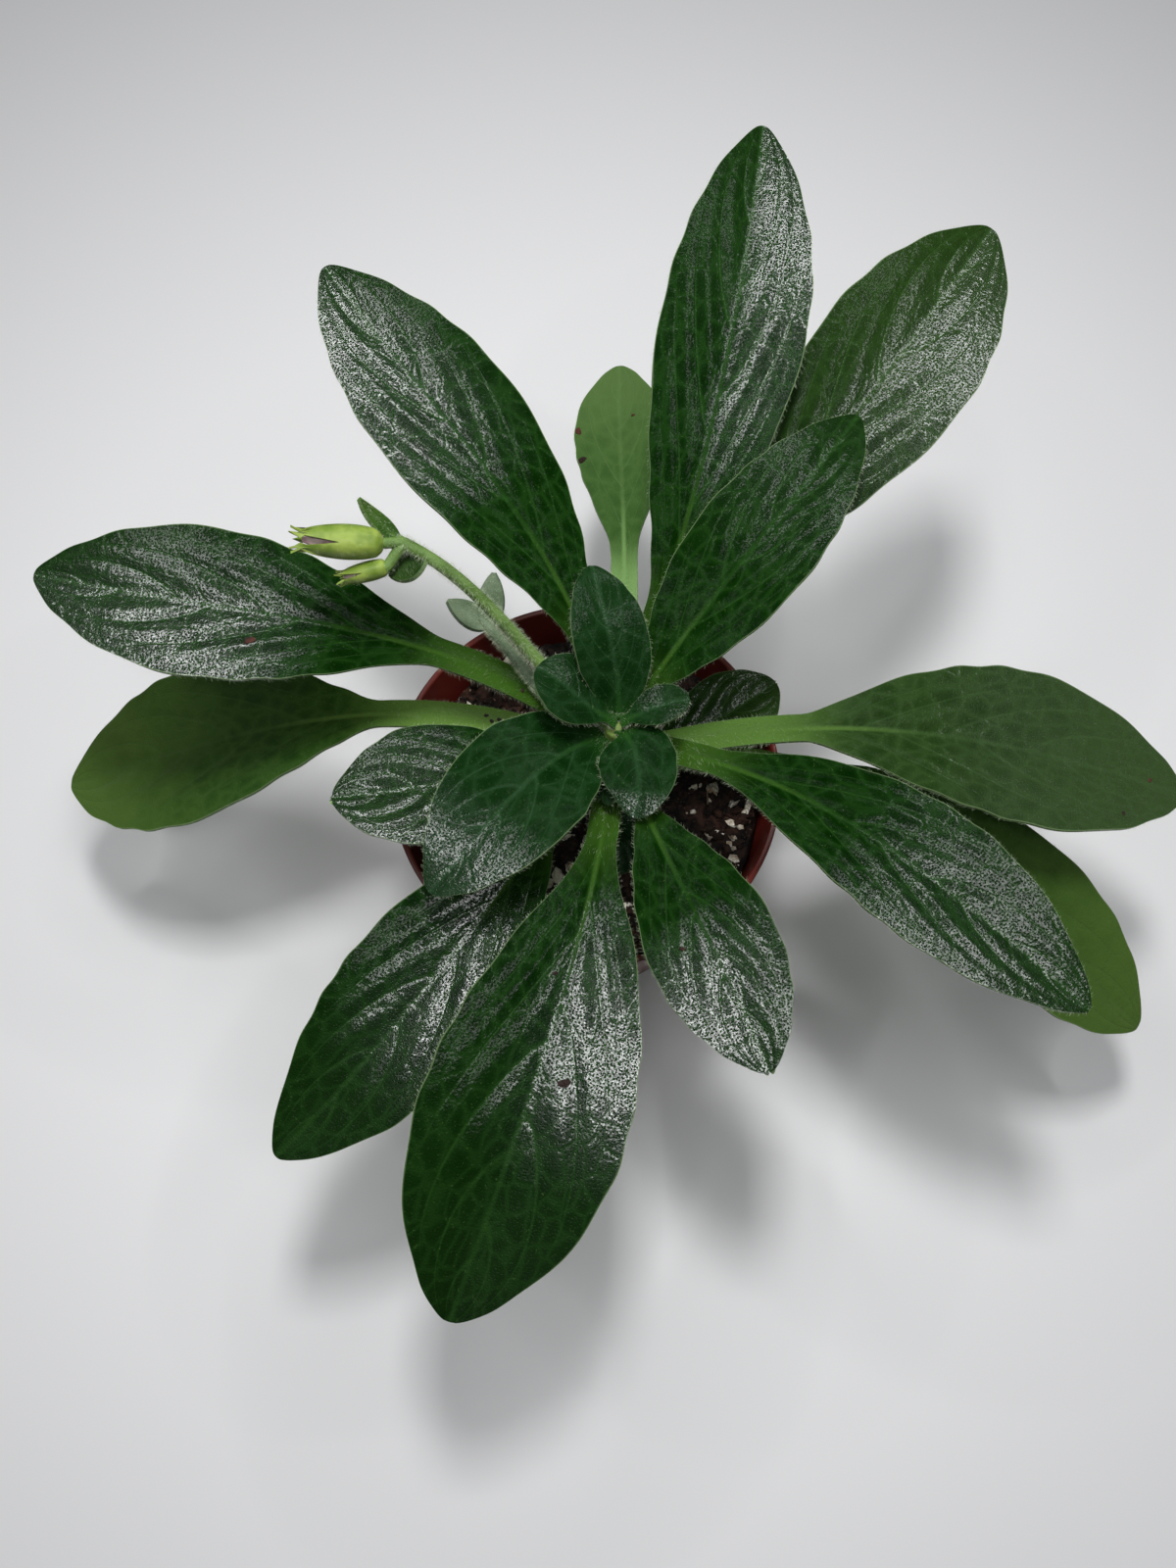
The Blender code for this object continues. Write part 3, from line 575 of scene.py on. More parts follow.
def shaped_grid(name, rows, columns, rule):
    """A grid whose points, u from 0 to 1 and v from -1 to 1, go where the rule puts them."""
    bpy.ops.object.select_all(action="DESELECT")
    bpy.ops.mesh.primitive_grid_add(x_subdivisions=rows, y_subdivisions=columns, size=2)
    piece = name_piece(name)
    flat = np.empty(3 * len(piece.data.vertices), np.float32)
    piece.data.vertices.foreach_get("co", flat)
    flat = flat.reshape(-1, 3)
    points, marks = rule((flat[:, 0] + 1) / 2, flat[:, 1].copy())
    piece.data.vertices.foreach_set("co", np.stack(points, -1).astype(np.float32).ravel())
    for mark, values in marks.items():
        attribute = piece.data.attributes.new(mark, "FLOAT", "POINT")
        attribute.data.foreach_set("value", np.asarray(values, np.float32))
    piece.data.update()
    return piece


def thicken(piece, most, shares):
    """Gives a sheet its thickness downwards, a share of the most at each point."""
    group = piece.vertex_groups.new(name="thickness")
    for i, share in enumerate(shares):
        group.add([i], float(share), "REPLACE")
    shape_with(
        piece, "SOLIDIFY", thickness=most, offset=-1, vertex_group="thickness", material_offset=1
    )


def leaf_finish(name, dark, middle, far, vein, lime, netted, veined):
    """The upper skin of a leaf: veins, network, lime base, pale margin and pitted wax."""
    skin = Finish(name, Metallic=0.0, Roughness=0.7, Specular_IOR_Level=0.0)
    blade, across, run, side, shine = [
        skin.node("ShaderNodeAttribute", {"attribute_name": mark}, {}, "Fac")
        for mark in ("blade", "across", "run", "side", "shine")
    ]
    outwards = abs(across)
    wobble = skin.mottle(7 * MM)
    phase = VEIN_PAIRS * (blade - VEIN_ADVANCE * outwards ** VEIN_CURVE)
    phase = phase + across.maths("GREATER_THAN", across, 0.0) * ODD_SIDE
    turns = phase + 100.5
    from_vein = abs(turns.maths("FRACT", turns) - 0.5)
    veins = from_vein.ramp(0.08, 0.0) * outwards.ramp(0.97, 0.6) * blade.ramp(-0.02, 0.1)
    rib = abs(side).ramp(0.7, 0.1)
    net_place = skin.node("ShaderNodeCombineXYZ", {}, {
        0: (run + wobble * 2.4) / 4.4, 1: (side + wobble * 2.0) / 3.0,
    })
    from_net = skin.cells(1.0, "DISTANCE_TO_EDGE", net_place)
    net = from_net.ramp(0.15, 0.0)
    pit_place = skin.node("ShaderNodeCombineXYZ", {}, {0: run / PIT_SPACING, 1: side / PIT_SPACING})
    pits = skin.node(
        "ShaderNodeTexVoronoi", {"voronoi_dimensions": "2D"},
        {"Vector": pit_place, "Scale": 1.0, "Randomness": 0.75}, "Distance",
    ).ramp(0.32, 0.16)
    base = blade.ramp(0.14, -0.1)
    lime_share = base + rib * blade.ramp(0.36, 0.05) * (1 - base) * 0.7
    grain = skin.mottle(0.45 * MM, 3.0)
    patches = from_net.ramp(0.4, 0.05) * 0.6 + wobble * 0.5 + grain * 0.8 - 0.45
    colour = skin.blend(patches, dark, middle)
    colour = skin.blend((blade + wobble * 0.3).ramp(0.45, 1.2), colour, far)
    colour = skin.blend(net * netted, colour, vein)
    colour = skin.blend(veins * veined, colour, vein)
    colour = skin.blend(rib * veined, colour, vein)
    colour = skin.blend(lime_share * 0.85, colour, lime)
    colour = skin.blend(grain.ramp(0.62, 0.8) * 0.2, colour, tint(108, 140, 76))
    colour = skin.blend(outwards.ramp(0.98, 1.0) * 0.5, colour, tint(118, 140, 98))
    wax = shine * (1 - pits) * (0.65 + 0.35 * skin.mottle(1.1 * MM).ramp(0.35, 0.6))
    height = (
        skin.mottle(0.8 * MM) * 0.08 + skin.mottle(3.0 * MM) * 0.1 + grain * 0.03
        - pits * 0.045 - (veins + net * 0.5) * 0.06
    )
    bump = skin.node("ShaderNodeBump", {}, {"Height": height, "Distance": MM}, "Normal")
    skin.feed(skin.shader, {"Base Color": colour, "Normal": bump})
    waxed = skin.node("ShaderNodeBsdfPrincipled", {}, {
        "Roughness": 0.2, "IOR": 1.7, "Specular IOR Level": 0.9, "Base Color": colour,
        "Normal": bump,
    })
    matt = Field(skin, skin.shader.outputs[0])
    surface = skin.node("ShaderNodeMixShader", {}, {0: wax + 0.025, 1: matt, 2: waxed})
    skin.feed(skin.tree.nodes["Material Output"], {"Surface": surface})
    return skin.material


AGES = {
    "young": leaf_finish("young_leaf", tint(5, 28, 5), tint(13, 40, 11), tint(14, 38, 13),
                         tint(50, 80, 52), tint(26, 60, 14), 0.12, 0.22),
    "grown": leaf_finish("grown_leaf", tint(2, 22, 0), tint(9, 36, 4), tint(14, 36, 8),
                         tint(34, 66, 24), tint(50, 80, 24), 0.24, 0.38),
    "ripe": leaf_finish("ripe_leaf", tint(13, 32, 6), tint(23, 44, 12), tint(28, 48, 15),
                        tint(44, 72, 30), tint(60, 92, 34), 0.18, 0.36),
    "old": leaf_finish("old_leaf", tint(24, 44, 14), tint(36, 56, 24), tint(46, 68, 30),
                       tint(54, 78, 42), tint(76, 106, 46), 0.2, 0.3),
    # Low leaves: the old leaves' own olive tone, painted lighter than it is to offset the shade that the
    # leaves above cast on them; that extra lightness is painted light.
    "low": leaf_finish("low_leaf", tint(30, 58, 18), tint(46, 74, 26), tint(72, 98, 40),
                       tint(62, 88, 44), tint(88, 118, 54), 0.16, 0.3),
    "pale": leaf_finish("pale_leaf", tint(48, 76, 34), tint(58, 88, 40), tint(76, 102, 54),
                        tint(84, 112, 64), tint(118, 152, 92), 0.1, 0.3),
}
below = Finish("leaf_underside", Roughness=0.6, Metallic=0.0)
cloud = below.mottle(6 * MM)
mesh_cells = below.cells(3.2 * MM, "DISTANCE_TO_EDGE").ramp(0.14, 0.02)
colour = below.blend(cloud, tint(92, 122, 74), tint(112, 140, 88))
below.feed(below.shader, {"Base Color": below.blend(mesh_cells * 0.5, colour, tint(140, 164, 112))})
below.relief(mesh_cells * 0.2 + below.mottle(0.8 * MM) * 0.15)


def make_leaf(row):
    """One leaf, shaped flat, thickened and bent along its midrib."""
    name, *placing = row[:9]
    width, stalk, widest, roll, age, gloss_start, gloss_end, gloss, lean = row[9:]
    curve = draw_curve(*midrib(*placing))
    length = curve.data.splines[0].calc_length()
    big = length > FULL_LENGTH
    teeth = FULL_TEETH if big else SMALL_TEETH
    shift = placing[1] * 0.37 % 1

    def rule(u, v):
        s = 1 - (1 - u) ** 1.3
        v = v * (0.7 + 0.3 * v * v)
        t = (s - stalk) / (1 - stalk)
        inside = np.clip(t, 0, 1)
        power = TIP_TAPER * widest / (1 - widest)
        peak = widest ** power * (1 - widest) ** TIP_TAPER
        round_off = TIP_ROUNDING / length
        left = np.sqrt((1 - inside) ** 2 + 2 * round_off * (1 - inside))
        half = width * MM / 2 * inside ** power * left ** TIP_TAPER / peak
        petiole = min(PETIOLE_HALF_MOST, PETIOLE_HALF_LEAST + PETIOLE_GROWTH * length)
        petiole = petiole * (1 - inside)
        petiole = petiole * (1 + 0.3 * np.clip(1 - s / 0.08, 0, 1))
        ends = np.clip(inside / 0.12, 0, 1) * np.clip((1 - inside) / 0.06, 0, 1)
        along = teeth * t + 0.25 * np.sin(11 * t + 3 * v + 7 * shift)
        tooth = -TOOTH_SHARE * width * MM * np.cos(math.tau * along) * ends
        half = np.maximum(0.15 * MM, np.hypot(petiole, half) + tooth * np.abs(v) ** 3)
        outwards = np.abs(v)
        rise = half * (BLADE_FOLD * (np.hypot(outwards, 0.05) - 0.05) - BLADE_SWELL * v * v)
        phase = VEIN_PAIRS * (t - VEIN_ADVANCE * outwards ** VEIN_CURVE)
        phase = phase + np.where(v > 0, ODD_SIDE, 0)
        uneven = 1 + 0.5 * np.sin(4.1 * phase + 9 * shift) * np.cos(7 * v + 5 * shift)
        swell = np.abs(np.sin(math.pi * phase)) ** 1.4 - 0.45
        swell = swell * uneven * (1 - np.exp(-(outwards / 0.2) ** 2)) * (1 - outwards ** 4)
        rise = rise + QUILTING[age] * half * swell * np.clip(inside / 0.1, 0, 1)
        groove = np.exp(-(v * half / RIB_GROOVE) ** 2) * np.clip(s / 0.05, 0, 1)
        rise = rise - 0.03 * width * 0.3 * MM * groove * np.clip(1.2 - inside, 0, 1)
        wave = np.sin(math.tau * (2.3 * s + shift)) * np.where(v > 0, 1, -0.7)
        rise = rise + MARGIN_WAVE * half * wave * outwards ** 3 * np.clip(inside / 0.2, 0, 1)
        shine = gloss * np.clip((t - gloss_start) / 0.2, 0, 1)
        shine = shine * (1 - 0.8 * np.clip((t - gloss_end) / 0.15, 0, 1))
        shine = shine * np.clip(1 - abs(lean) * 0.6 + 2.4 * lean * v, 0.08, 1)
        marks = {
            "blade": t, "across": v, "run": s * length / MM, "side": v * half / MM, "shine": shine,
        }
        return (s * length, v * half, rise), marks

    leaf = shaped_grid(name + "_skin", LEAF_ROWS, LEAF_COLUMNS, rule)
    t = np.empty(len(leaf.data.vertices), np.float32)
    v = np.empty(len(leaf.data.vertices), np.float32)
    leaf.data.attributes["blade"].data.foreach_get("value", t)
    leaf.data.attributes["across"].data.foreach_get("value", v)
    s = stalk + t * (1 - stalk)
    faded = np.clip(s / (stalk + 0.15), 0, 1)
    middle = PETIOLE_THICKNESS + (BLADE_THICKNESS - PETIOLE_THICKNESS) * faded
    middle = middle * (1 if big else SMALL_THICKNESS_SHARE)
    depth = middle + (MARGIN_THICKNESS - middle) * v * v
    leaf.data.materials.append(AGES[age])
    leaf.data.materials.append(below.material)
    thicken(leaf, PETIOLE_THICKNESS, depth / PETIOLE_THICKNESS)
    curve.data.splines[0].bezier_points[1].tilt = math.radians(roll)
    shape_with(leaf, "CURVE", object=curve, deform_axis="POS_X")
    bpy.data.objects.remove(curve)
    bpy.ops.object.shade_smooth_by_angle(angle=SMOOTHED)
    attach(leaf, "root")
    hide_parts(name)
    return leaf


leaves = [make_leaf(row) for row in LEAVES]


# Leaf hairs: short white bristles, a fringe along each margin, a dense coat on each petiole and
# a thin one over the blade, all leaning towards the tip. One hair is modelled and copied.
HAIR_FOOT = 0.016
HAIR_NECK = 0.013
HAIR_SEED = 100
MARGIN_HAIR = 0.7 * MM
BLADE_HAIR = 0.25 * MM
AREA_PER_HAIR = 14
AREA_PER_YOUNG_HAIR = 3


def hair_pattern():
    """A thin bristle of unit length with three sides, bent over towards +X."""
    bpy.ops.object.select_all(action="DESELECT")
    bpy.ops.mesh.primitive_cone_add(
        vertices=3, radius1=HAIR_FOOT, radius2=HAIR_NECK, depth=0.5, location=(0, 0, 0.25)
    )
    hair = bpy.context.object
    bpy.ops.object.transform_apply(location=True, rotation=False, scale=False)
    bpy.ops.object.mode_set(mode="EDIT")
    bpy.ops.mesh.select_all(action="DESELECT")
    bpy.ops.object.mode_set(mode="OBJECT")
    for face in hair.data.polygons:
        face.select = face.normal.z > 0.9
    bpy.ops.object.mode_set(mode="EDIT")
    bpy.ops.mesh.extrude_region_move(TRANSFORM_OT_translate={"value": (0.12, 0, 0.5)})
    bpy.ops.mesh.merge(type="CENTER")
    bpy.ops.object.mode_set(mode="OBJECT")
    return hair


def grow_hairs(name, piece, coats, finish, seed):
    """Hairs on a piece, in coats of (count, length, lean, share of a face by its marks)."""
    mesh = piece.data
    mesh.calc_loop_triangles()
    triangles = np.array([t.vertices[:] for t in mesh.loop_triangles])
    points = np.array([v.co[:] for v in mesh.vertices])
    marks = {}
    for mark in ("blade", "across", "run"):
        values = np.empty(len(points), np.float32)
        mesh.attributes[mark].data.foreach_get("value", values)
        marks[mark] = values[triangles].mean(1)
        if mark == "run":
            run = values
    a, b, c = (points[triangles[:, k]] for k in range(3))
    normal = np.cross(b - a, c - a)
    area = np.linalg.norm(normal, axis=1)
    normal /= np.maximum(area, 1e-12)[:, None]
    rise_b = (run[triangles[:, 1]] - run[triangles[:, 0]])[:, None]
    rise_c = (run[triangles[:, 2]] - run[triangles[:, 0]])[:, None]
    ahead = np.cross(normal, rise_b * (c - a) - rise_c * (b - a))
    ahead /= np.maximum(np.linalg.norm(ahead, axis=1), 1e-12)[:, None]
    chance = np.random.default_rng(seed)
    places = []
    for count, length, lean, share in coats:
        weight = area * share(marks, normal)
        chosen = chance.choice(len(area), count, p=weight / weight.sum())
        p, q = chance.uniform(0, 1, (2, count, 1))
        over = p + q > 1
        p, q = np.where(over, 1 - p, p), np.where(over, 1 - q, q)
        spot = a[chosen] + p * (b[chosen] - a[chosen]) + q * (c[chosen] - a[chosen])
        up = normal[chosen] + lean * ahead[chosen] + chance.normal(0, 0.18, (count, 3))
        up /= np.linalg.norm(up, axis=1)[:, None]
        side = np.cross(up, ahead[chosen] + 1e-4)
        side /= np.linalg.norm(side, axis=1)[:, None]
        front = np.cross(side, up)
        size = length * chance.uniform(0.6, 1.2, (count, 1, 1))
        matrices = np.zeros((count, 4, 4))
        matrices[:, :3, :3] = np.stack((front, side, up), -1) * size
        matrices[:, :3, 3] = spot
        matrices[:, 3, 3] = 1
        places.append(matrices)
    hairs = strew(name, hair_pattern(), np.concatenate(places))
    hairs.data.materials.append(finish.material)
    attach(hairs, "root")


down = Finish("white_down", Roughness=0.5, Metallic=0.0, Base_Color=tint(176, 188, 158))


def on_margin(marks, normal):
    """The outer edge of the blade."""
    return (np.abs(marks["across"]) > 0.985) * 1.0


def on_petiole(marks, normal):
    """The petiole and the blade's base, all round."""
    return np.clip(1 - (marks["blade"] + 0.05) / 0.12, 0, 1)


def on_blade(marks, normal):
    """The blade's upper side."""
    return (marks["blade"] > 0) * (normal[:, 2] > 0)


for i, (row, leaf) in enumerate(zip(LEAVES, leaves)):
    reach, width, age = row[5], row[9], row[13]
    spacing = AREA_PER_YOUNG_HAIR if age == "young" else AREA_PER_HAIR
    grow_hairs(row[0] + "_hairs", leaf, [
        (60 + 5 * int(reach), MARGIN_HAIR, 0.5, on_margin),
        (20 + 7 * int(reach), (0.45 + 0.005 * reach) * MM, 0.3, on_petiole),
        (int(reach * width / spacing), BLADE_HAIR, 1.8, on_blade),
    ], down, HAIR_SEED + i)


# Debris: a few brown flakes and black grains of peat that have dropped on the leaves and lie
# there loose.
DEBRIS_SEED = 29
FLAKE = (1.0, 0.7, 0.35)
GRAIN = (0.45, 0.35, 0.3)
DEBRIS = (
    # leaf, share along its blade, share across it, size in millimetres
    ("leaf_09", 0.46, 0.45, FLAKE), ("leaf_13", 0.49, 0.30, FLAKE),
    ("leaf_13", 0.30, -0.20, GRAIN), ("leaf_19", 0.62, 0.93, FLAKE),
    ("leaf_19", 0.48, 0.95, FLAKE), ("leaf_19", 0.70, -0.35, GRAIN),
    ("leaf_16", -0.28, -0.30, GRAIN), ("leaf_16", -0.26, -0.10, GRAIN),
    ("leaf_16", -0.24, -0.40, GRAIN), ("leaf_09", -0.20, 0.30, GRAIN),
    ("leaf_17", 0.80, -0.70, GRAIN), ("leaf_17", 0.90, 0.10, GRAIN),
    ("leaf_08", 0.52, -0.45, GRAIN),
)


def on_leaf(leaf, blade, across):
    """The place on a leaf's upper side at a share along its blade and one across it."""
    values = np.empty((2, len(leaf.data.vertices)), np.float32)
    leaf.data.attributes["blade"].data.foreach_get("value", values[0])
    leaf.data.attributes["across"].data.foreach_get("value", values[1])
    upper = np.array([v.normal.z > 0.2 for v in leaf.data.vertices])
    miss = np.hypot(values[0] - blade, 0.3 * (values[1] - across)) + 9 * (1 - upper)
    return leaf.data.vertices[int(miss.argmin())].co


named = dict(zip((row[0] for row in LEAVES), leaves))
places = []
chance = np.random.default_rng(DEBRIS_SEED)
for name, blade, across, size in DEBRIS:
    turn = Matrix.Rotation(chance.uniform(0, math.tau), 4, "Z")
    spot = Matrix.Translation(on_leaf(named[name], blade, across))
    places.append(spot @ turn @ Matrix.Diagonal((*(part * MM for part in size), 1)))
debris = strew("leaf_debris", lump(2, 0.7), places)
crust = Finish("brown_debris", Roughness=0.8, Metallic=0.0)
colour = crust.blend(crust.mottle(9 * MM).ramp(0.45, 0.55), tint(70, 38, 30), tint(36, 24, 20))
crust.feed(crust.shader, {"Base Color": colour})
crust.relief(crust.mottle(0.4 * MM) * 0.2)
debris.data.materials.append(crust.material)
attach(debris, "root")


# Flower stalks: soft lime green stalks from the axils of two leaves, thickly covered in white
# down, each with a pair of bracts at its end. The taller one carries two buds.
TALL_STALK = (87.4, 148, 9, 148, 43.3, 112.5, 158, -10)
TALL_RADIUS = 1.15 * MM
SHORT_STALK = (84.4, 168, 14, 142, 31.3, 92.5, 136, -8)
SHORT_RADIUS = 1.0 * MM
FOOT_SHARE = 1.1
TOP_SHARE = 0.9
DOWN_LENGTH = 0.8 * MM
STALK_HAIRS = 4600
STALK_SEED = 300


def draw_stalk(name, cubic, radius, foot, top):
    """A round stalk along a cubic, with a share of its radius at the foot and one at the top."""
    curve = draw_curve(*cubic)
    spline = curve.data.splines[0]
    base, end = spline.bezier_points
    base.radius = foot
    end.radius = top
    curve.data.bevel_depth = radius
    curve.data.bevel_resolution = 6
    curve.data.resolution_u = 40
    curve.data.use_fill_caps = True
    pick_only(curve)
    bpy.ops.object.convert(target="MESH")
    return name_piece(name)


def mark_stalk(piece):
    """Gives a round piece the marks that its hairs need: run grows with the height."""
    for mark in ("blade", "across", "run"):
        attribute = piece.data.attributes.new(mark, "FLOAT", "POINT")
        if mark == "run":
            heights = [v.co.z / MM for v in piece.data.vertices]
            attribute.data.foreach_set("value", heights)


def everywhere(marks, normal):
    """All over a piece."""
    return np.ones(len(normal))


sap = Finish("lime_stalk", Roughness=0.5, Metallic=0.0)
shade = sap.mottle(4 * MM)
sap.feed(sap.shader, {
    "Base Color": sap.blend(shade.ramp(0.3, 0.7), tint(70, 96, 40), tint(94, 122, 60)),
})
sap.relief(sap.cells(0.5 * MM).ramp(0.5, 0.1) * 0.05 + shade * 0.2)
grey = Finish("grey_green_stalk", Roughness=0.6, Metallic=0.0)
shade = grey.mottle(4 * MM)
grey.feed(grey.shader, {
    "Base Color": grey.blend(shade.ramp(0.3, 0.7), tint(72, 90, 64), tint(96, 112, 88)),
})
grey.relief(grey.cells(0.5 * MM).ramp(0.5, 0.1) * 0.05 + shade * 0.2)

tall_stalk = draw_stalk(
    "tall_stalk", midrib(*TALL_STALK), TALL_RADIUS, FOOT_SHARE, TOP_SHARE
)
tall_stalk.data.materials.append(sap.material)
short_stalk = draw_stalk(
    "short_stalk", midrib(*SHORT_STALK), SHORT_RADIUS, FOOT_SHARE, TOP_SHARE
)
short_stalk.data.materials.append(grey.material)
for stalk, node in ((tall_stalk, "flower_stalk_1"), (short_stalk, "flower_stalk_2")):
    pick_only(stalk)
    bpy.ops.object.shade_smooth_by_angle(angle=SMOOTHED)
    mark_stalk(stalk)
    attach(stalk, "root")
    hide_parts(node)
    grow_hairs(stalk.name + "_down", stalk, [(STALK_HAIRS, DOWN_LENGTH, 0.2, everywhere)],
               down, STALK_SEED + len(stalk.name))


# Bracts: small leaves in pairs where a stalk ends, cupped along their middle. Those of the tall
# stalk are green, and those of the short one are grey-green and broader for their length.
BRACT_THICKNESS = 0.8 * MM
BRACT_HAIRS = 260


def frame_along(base, tip):
    """The matrix that carries +X from base to tip, with +Z kept upwards."""
    along = (tip - base).normalized()
    side = Vector((0, 0, 1)).cross(along).normalized()
    matrix = Matrix((along, side, along.cross(side))).transposed().to_4x4()
    matrix.translation = base
    return matrix


def make_bract(name, base, tip, width, cup, hook, finish, node, seed):
    """One bract from its base to its tip, whose end hooks over by a share of its length."""
    base = Vector(base) * MM
    tip = Vector(tip) * MM
    length = (tip - base).length

    def rule(u, v):
        half = width * MM / 2 * np.sin(math.pi * np.clip(u, 0.02, 0.985) ** 0.8) ** 0.7
        rise = half * (cup * np.hypot(v, 0.1) - 0.1) + hook * length * np.clip(u - 0.6, 0, 1) ** 2
        marks = {"blade": u, "across": v, "run": u * length / MM, "side": v * half / MM}
        return (u * length, v * half, rise), marks

    bract = shaped_grid(name, 24, 14, rule)
    bract.data.transform(frame_along(base, tip))
    bract.data.materials.append(finish)
    shape_with(bract, "SOLIDIFY", thickness=BRACT_THICKNESS, offset=-1)
    bpy.ops.object.shade_smooth_by_angle(angle=SMOOTHED)
    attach(bract, "root")
    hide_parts(node)
    grow_hairs(name + "_down", bract, [(BRACT_HAIRS, DOWN_LENGTH, 0.3, everywhere)],
               down, seed)


make_bract("tall_bract_upper", (-30.5, 23.0, 112.0), (-36.8, 27.6, 117.0), 2.6, 0.45, 0.9,
           AGES["low"], "flower_stalk_1", 321)
make_bract("tall_bract_lower", (-26.5, 21.0, 111.5), (-33.0, 19.4, 108.0), 6.2, 0.30, 0.0,
           AGES["old"], "flower_stalk_1", 322)
make_bract("short_bract_left", (-17.5, 18.0, 92.3), (-24.5, 21.5, 95.8), 4.6, 0.30, 0.0,
           grey.material, "flower_stalk_2", 323)
make_bract("short_bract_right", (-17.5, 18.0, 92.3), (-16.5, 26.3, 97.0), 4.6, 0.30, 0.0,
           grey.material, "flower_stalk_2", 324)


# Buds: a green calyx of five lobes with thin tips that turn out, round a pale mauve corolla
# that is still shut. Each stands on a short pedicel from the end of the tall stalk.
BUDS = (
    ("bud_1", (-33.4, 22.4, 112.8), (-46.5, 22.0, 114.5), 2.75, "corolla_1", 331),
    ("bud_2", (-32.6, 19.4, 110.6), (-40.4, 18.3, 108.8), 2.0, "corolla_2", 332),
)
LOBES = 5
LOBE_TURN = 0.11
PEDICEL_RADIUS = 0.95 * MM
PEDICEL_HAIRS = 200
CALYX_THICKNESS = 0.45 * MM
CALYX_HAIRS = 420
CALYX_HAIR = 0.7 * MM
petal = Finish("mauve_petal", Roughness=0.55, Metallic=0.0)
streak = petal.mottle(3 * MM)
petal.feed(petal.shader, {
    "Base Color": petal.blend(streak.ramp(0.42, 0.62), tint(186, 164, 158), tint(136, 84, 112)),
})
petal.relief(streak * 0.2)
calyx_skin = Finish("lime_calyx", Roughness=0.45, Metallic=0.0)
shade = calyx_skin.mottle(3 * MM)
calyx_skin.feed(calyx_skin.shader, {
    "Base Color": calyx_skin.blend(shade.ramp(0.3, 0.7), tint(92, 116, 38), tint(130, 148, 66)),
})
calyx_skin.relief(shade * 0.3)


def bud_shape(t):
    """A bud's radius at a share of its length, of its widest."""
    return np.sin(math.pi * np.clip(t, 0.001, 0.98) ** 0.8) ** 0.55


def make_bud(name, base, tip, radius, node, seed):
    """One bud: pedicel, calyx and corolla."""
    base = Vector(base) * MM
    tip = Vector(tip) * MM
    length = (tip - base).length
    turn = frame_along(base, tip)
    inner = radius * MM - 1.2 * MM
    *_, before, end = midrib(*TALL_STALK)
    link = (before.lerp(end, 0.85), end, base.lerp(tip, -0.08), base.lerp(tip, 0.05))
    pedicel = draw_stalk(name + "_pedicel", link, PEDICEL_RADIUS, 1.0, 1.0)
    pedicel.data.materials.append(sap.material)
    bpy.ops.object.shade_smooth_by_angle(angle=SMOOTHED)
    mark_stalk(pedicel)
    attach(pedicel, "root")
    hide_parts("flower_stalk_1")
    grow_hairs(name + "_pedicel_down", pedicel, [(PEDICEL_HAIRS, DOWN_LENGTH, 0.2, everywhere)],
               down, seed + 10)

    def cup(u, v):
        lobe = np.abs((v + 1) / 2 * LOBES % 1 - 0.5) * 2
        rim = 1.12 - 0.32 * lobe ** 0.5 - 0.3 * lobe ** 2.5
        t = u * rim
        wide = inner * bud_shape(t) + 0.9 * MM * np.clip(t / 0.08, 0, 1) ** 0.5
        wide = wide + 0.5 * length * np.clip(t - 1.0, 0, 1)
        angle = math.pi * (v + LOBE_TURN)
        marks = {"blade": t, "across": v * 0, "run": t * length / MM}
        return (t * length, wide * np.cos(angle), wide * np.sin(angle)), marks

    calyx = shaped_grid(name + "_calyx", 20, 60, cup)
    calyx.data.transform(turn)
    pick_only(calyx)
    bpy.ops.object.mode_set(mode="EDIT")
    bpy.ops.mesh.select_all(action="SELECT")
    bpy.ops.mesh.remove_doubles(threshold=0.00002)
    bpy.ops.mesh.normals_make_consistent(inside=False)
    bpy.ops.object.mode_set(mode="OBJECT")
    calyx.data.materials.append(calyx_skin.material)
    shape_with(calyx, "SOLIDIFY", thickness=CALYX_THICKNESS, offset=-1)
    bpy.ops.object.shade_smooth_by_angle(angle=SMOOTHED)
    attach(calyx, "root")
    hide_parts("flower_stalk_1")
    grow_hairs(name + "_down", calyx, [(CALYX_HAIRS, CALYX_HAIR, 0.4, everywhere)],
               down, seed)

    bpy.ops.object.select_all(action="DESELECT")
    bpy.ops.mesh.primitive_uv_sphere_add(segments=40, ring_count=28, radius=1)
    corolla = name_piece(name + "_corolla")
    for point in corolla.data.vertices:
        t = 0.57 + 0.41 * point.co.z
        angle = math.atan2(point.co.y, point.co.x)
        across = inner * float(bud_shape(t)) * (1 + 0.04 * math.cos(LOBES * angle))
        across *= min(1.0, 6 * math.hypot(point.co.x, point.co.y))
        point.co = Vector((t * length, across * math.cos(angle), across * math.sin(angle)))
    corolla.data.transform(turn)
    corolla.data.materials.append(petal.material)
    bpy.ops.object.shade_smooth_by_angle(angle=SMOOTHED)
    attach(corolla, "root")
    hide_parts(node)


for bud in BUDS:
    make_bud(*bud)


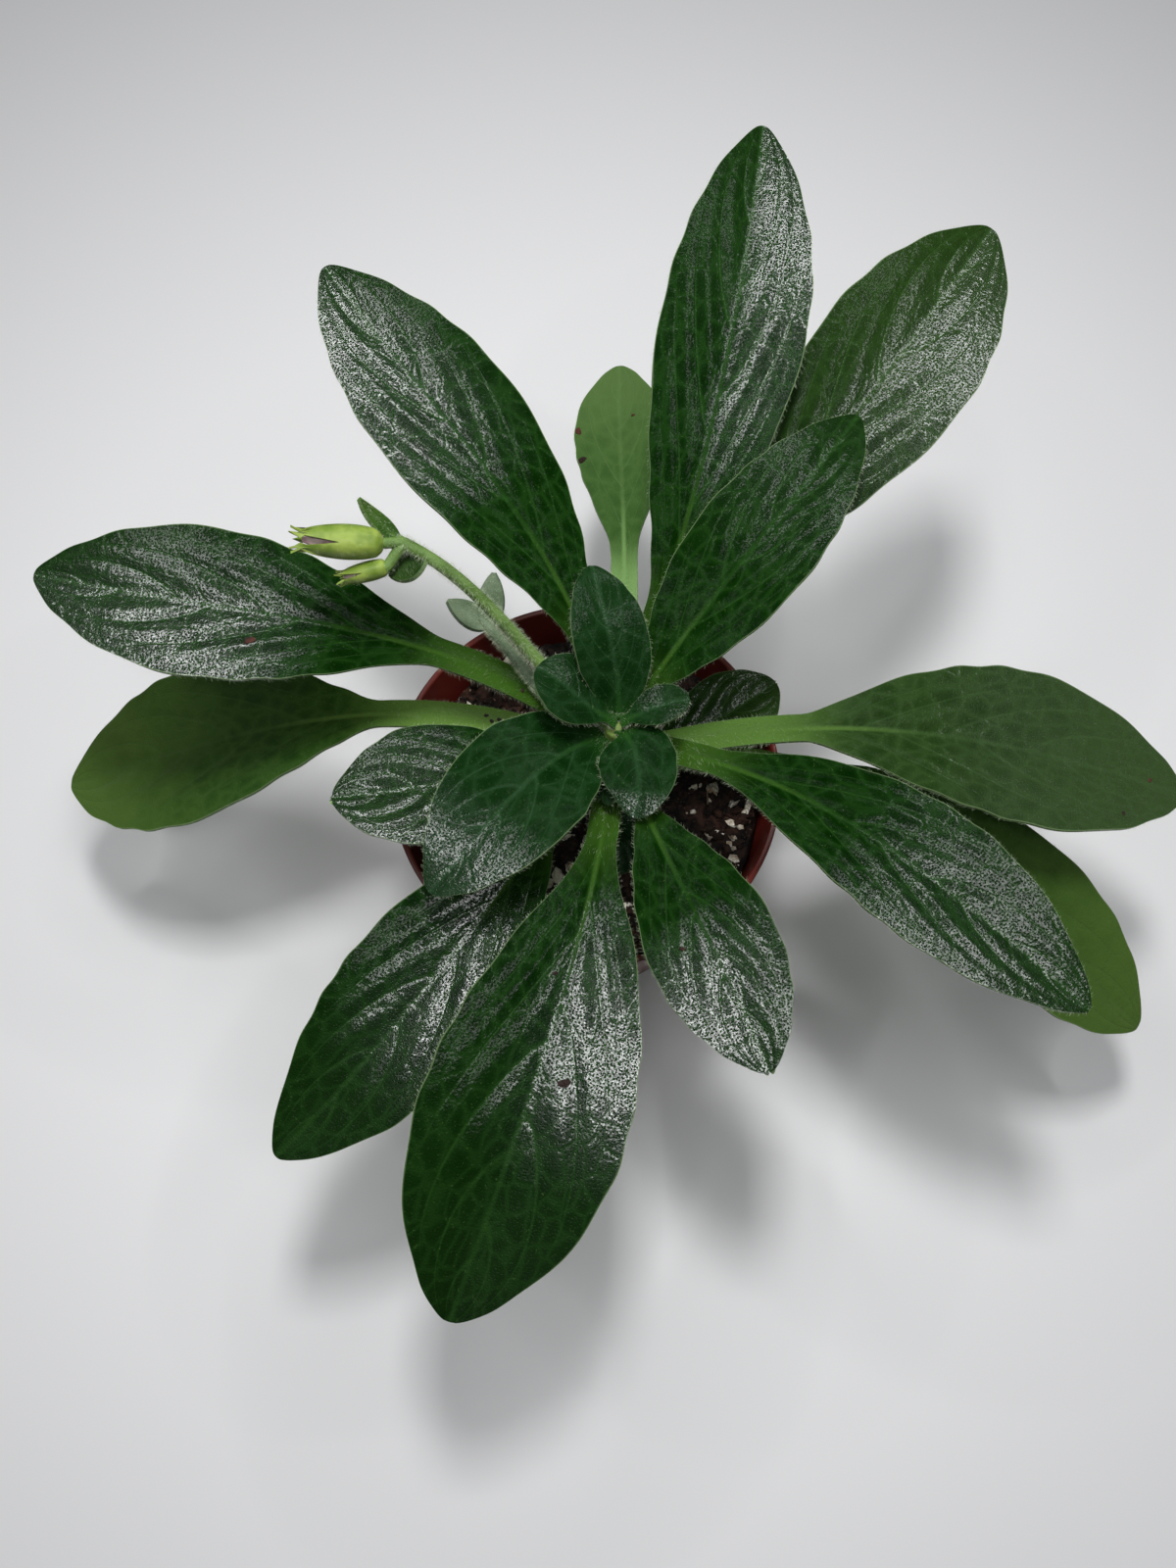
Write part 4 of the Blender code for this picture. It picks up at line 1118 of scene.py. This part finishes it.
# Floor, light and camera: a plain pale floor, a soft lamp overhead in a ring of weaker ones and
# a pale room. The camera looks down at the plant from in front, as a hand-held one does.
OVERHEAD_PLACE = (0.0, 0.06, 0.42)
OVERHEAD_SIZE = (0.05, 0.07)
OVERHEAD_POWER = 1.1
RING_LAMPS = 12
RING_MIDDLE = (0.0, 0.05, 0.45)
RING_RADIUS = 0.19
RING_SIZE = (0.016, 0.1)
RING_POWER = 0.13
ROOM_LIGHT = 0.12
CAMERA_PLACE = (0.0003, -0.0824, 0.2795)
CAMERA_TILT = math.radians(20.6)
CAMERA_LENS = 27.02
bpy.ops.object.select_all(action="DESELECT")
bpy.ops.mesh.primitive_plane_add(size=4)
floor = name_piece("floor")
paint = Finish("pale_floor", Metallic=0.0, Base_Color=tint(216, 216, 217), Roughness=0.45)
floor.data.materials.append(paint.material)

world = bpy.data.worlds.new("pale_room")
bpy.context.scene.world = world
world.use_nodes = True
background = world.node_tree.nodes["Background"]
background.inputs["Color"].default_value = tint(226, 230, 236)
background.inputs["Strength"].default_value = ROOM_LIGHT


def add_lamp(name, place, turn, size, power):
    """A soft rectangular lamp that faces straight down."""
    bpy.ops.object.light_add(type="AREA", location=place, rotation=(0, 0, turn))
    lamp = name_piece(name)
    lamp.data.shape = "RECTANGLE"
    lamp.data.size, lamp.data.size_y = size
    lamp.data.energy = power
    return lamp


overhead = add_lamp("overhead_lamp", OVERHEAD_PLACE, 0, OVERHEAD_SIZE, OVERHEAD_POWER)
overhead.visible_glossy = False
for k in range(RING_LAMPS):
    turn = math.tau * k / RING_LAMPS
    out = Vector((math.cos(turn), math.sin(turn), 0)) * RING_RADIUS
    place = Vector(RING_MIDDLE) + out
    add_lamp("ring_lamp_%02d" % (k + 1), place, turn, RING_SIZE, RING_POWER)

bpy.context.scene.view_settings.view_transform = "Standard"
bpy.ops.object.camera_add(location=CAMERA_PLACE, rotation=(CAMERA_TILT, 0, 0))
camera = name_piece("camera")
camera.data.lens = CAMERA_LENS
camera.data.sensor_width = 36
camera.data.clip_start = 0.005
bpy.context.scene.camera = camera
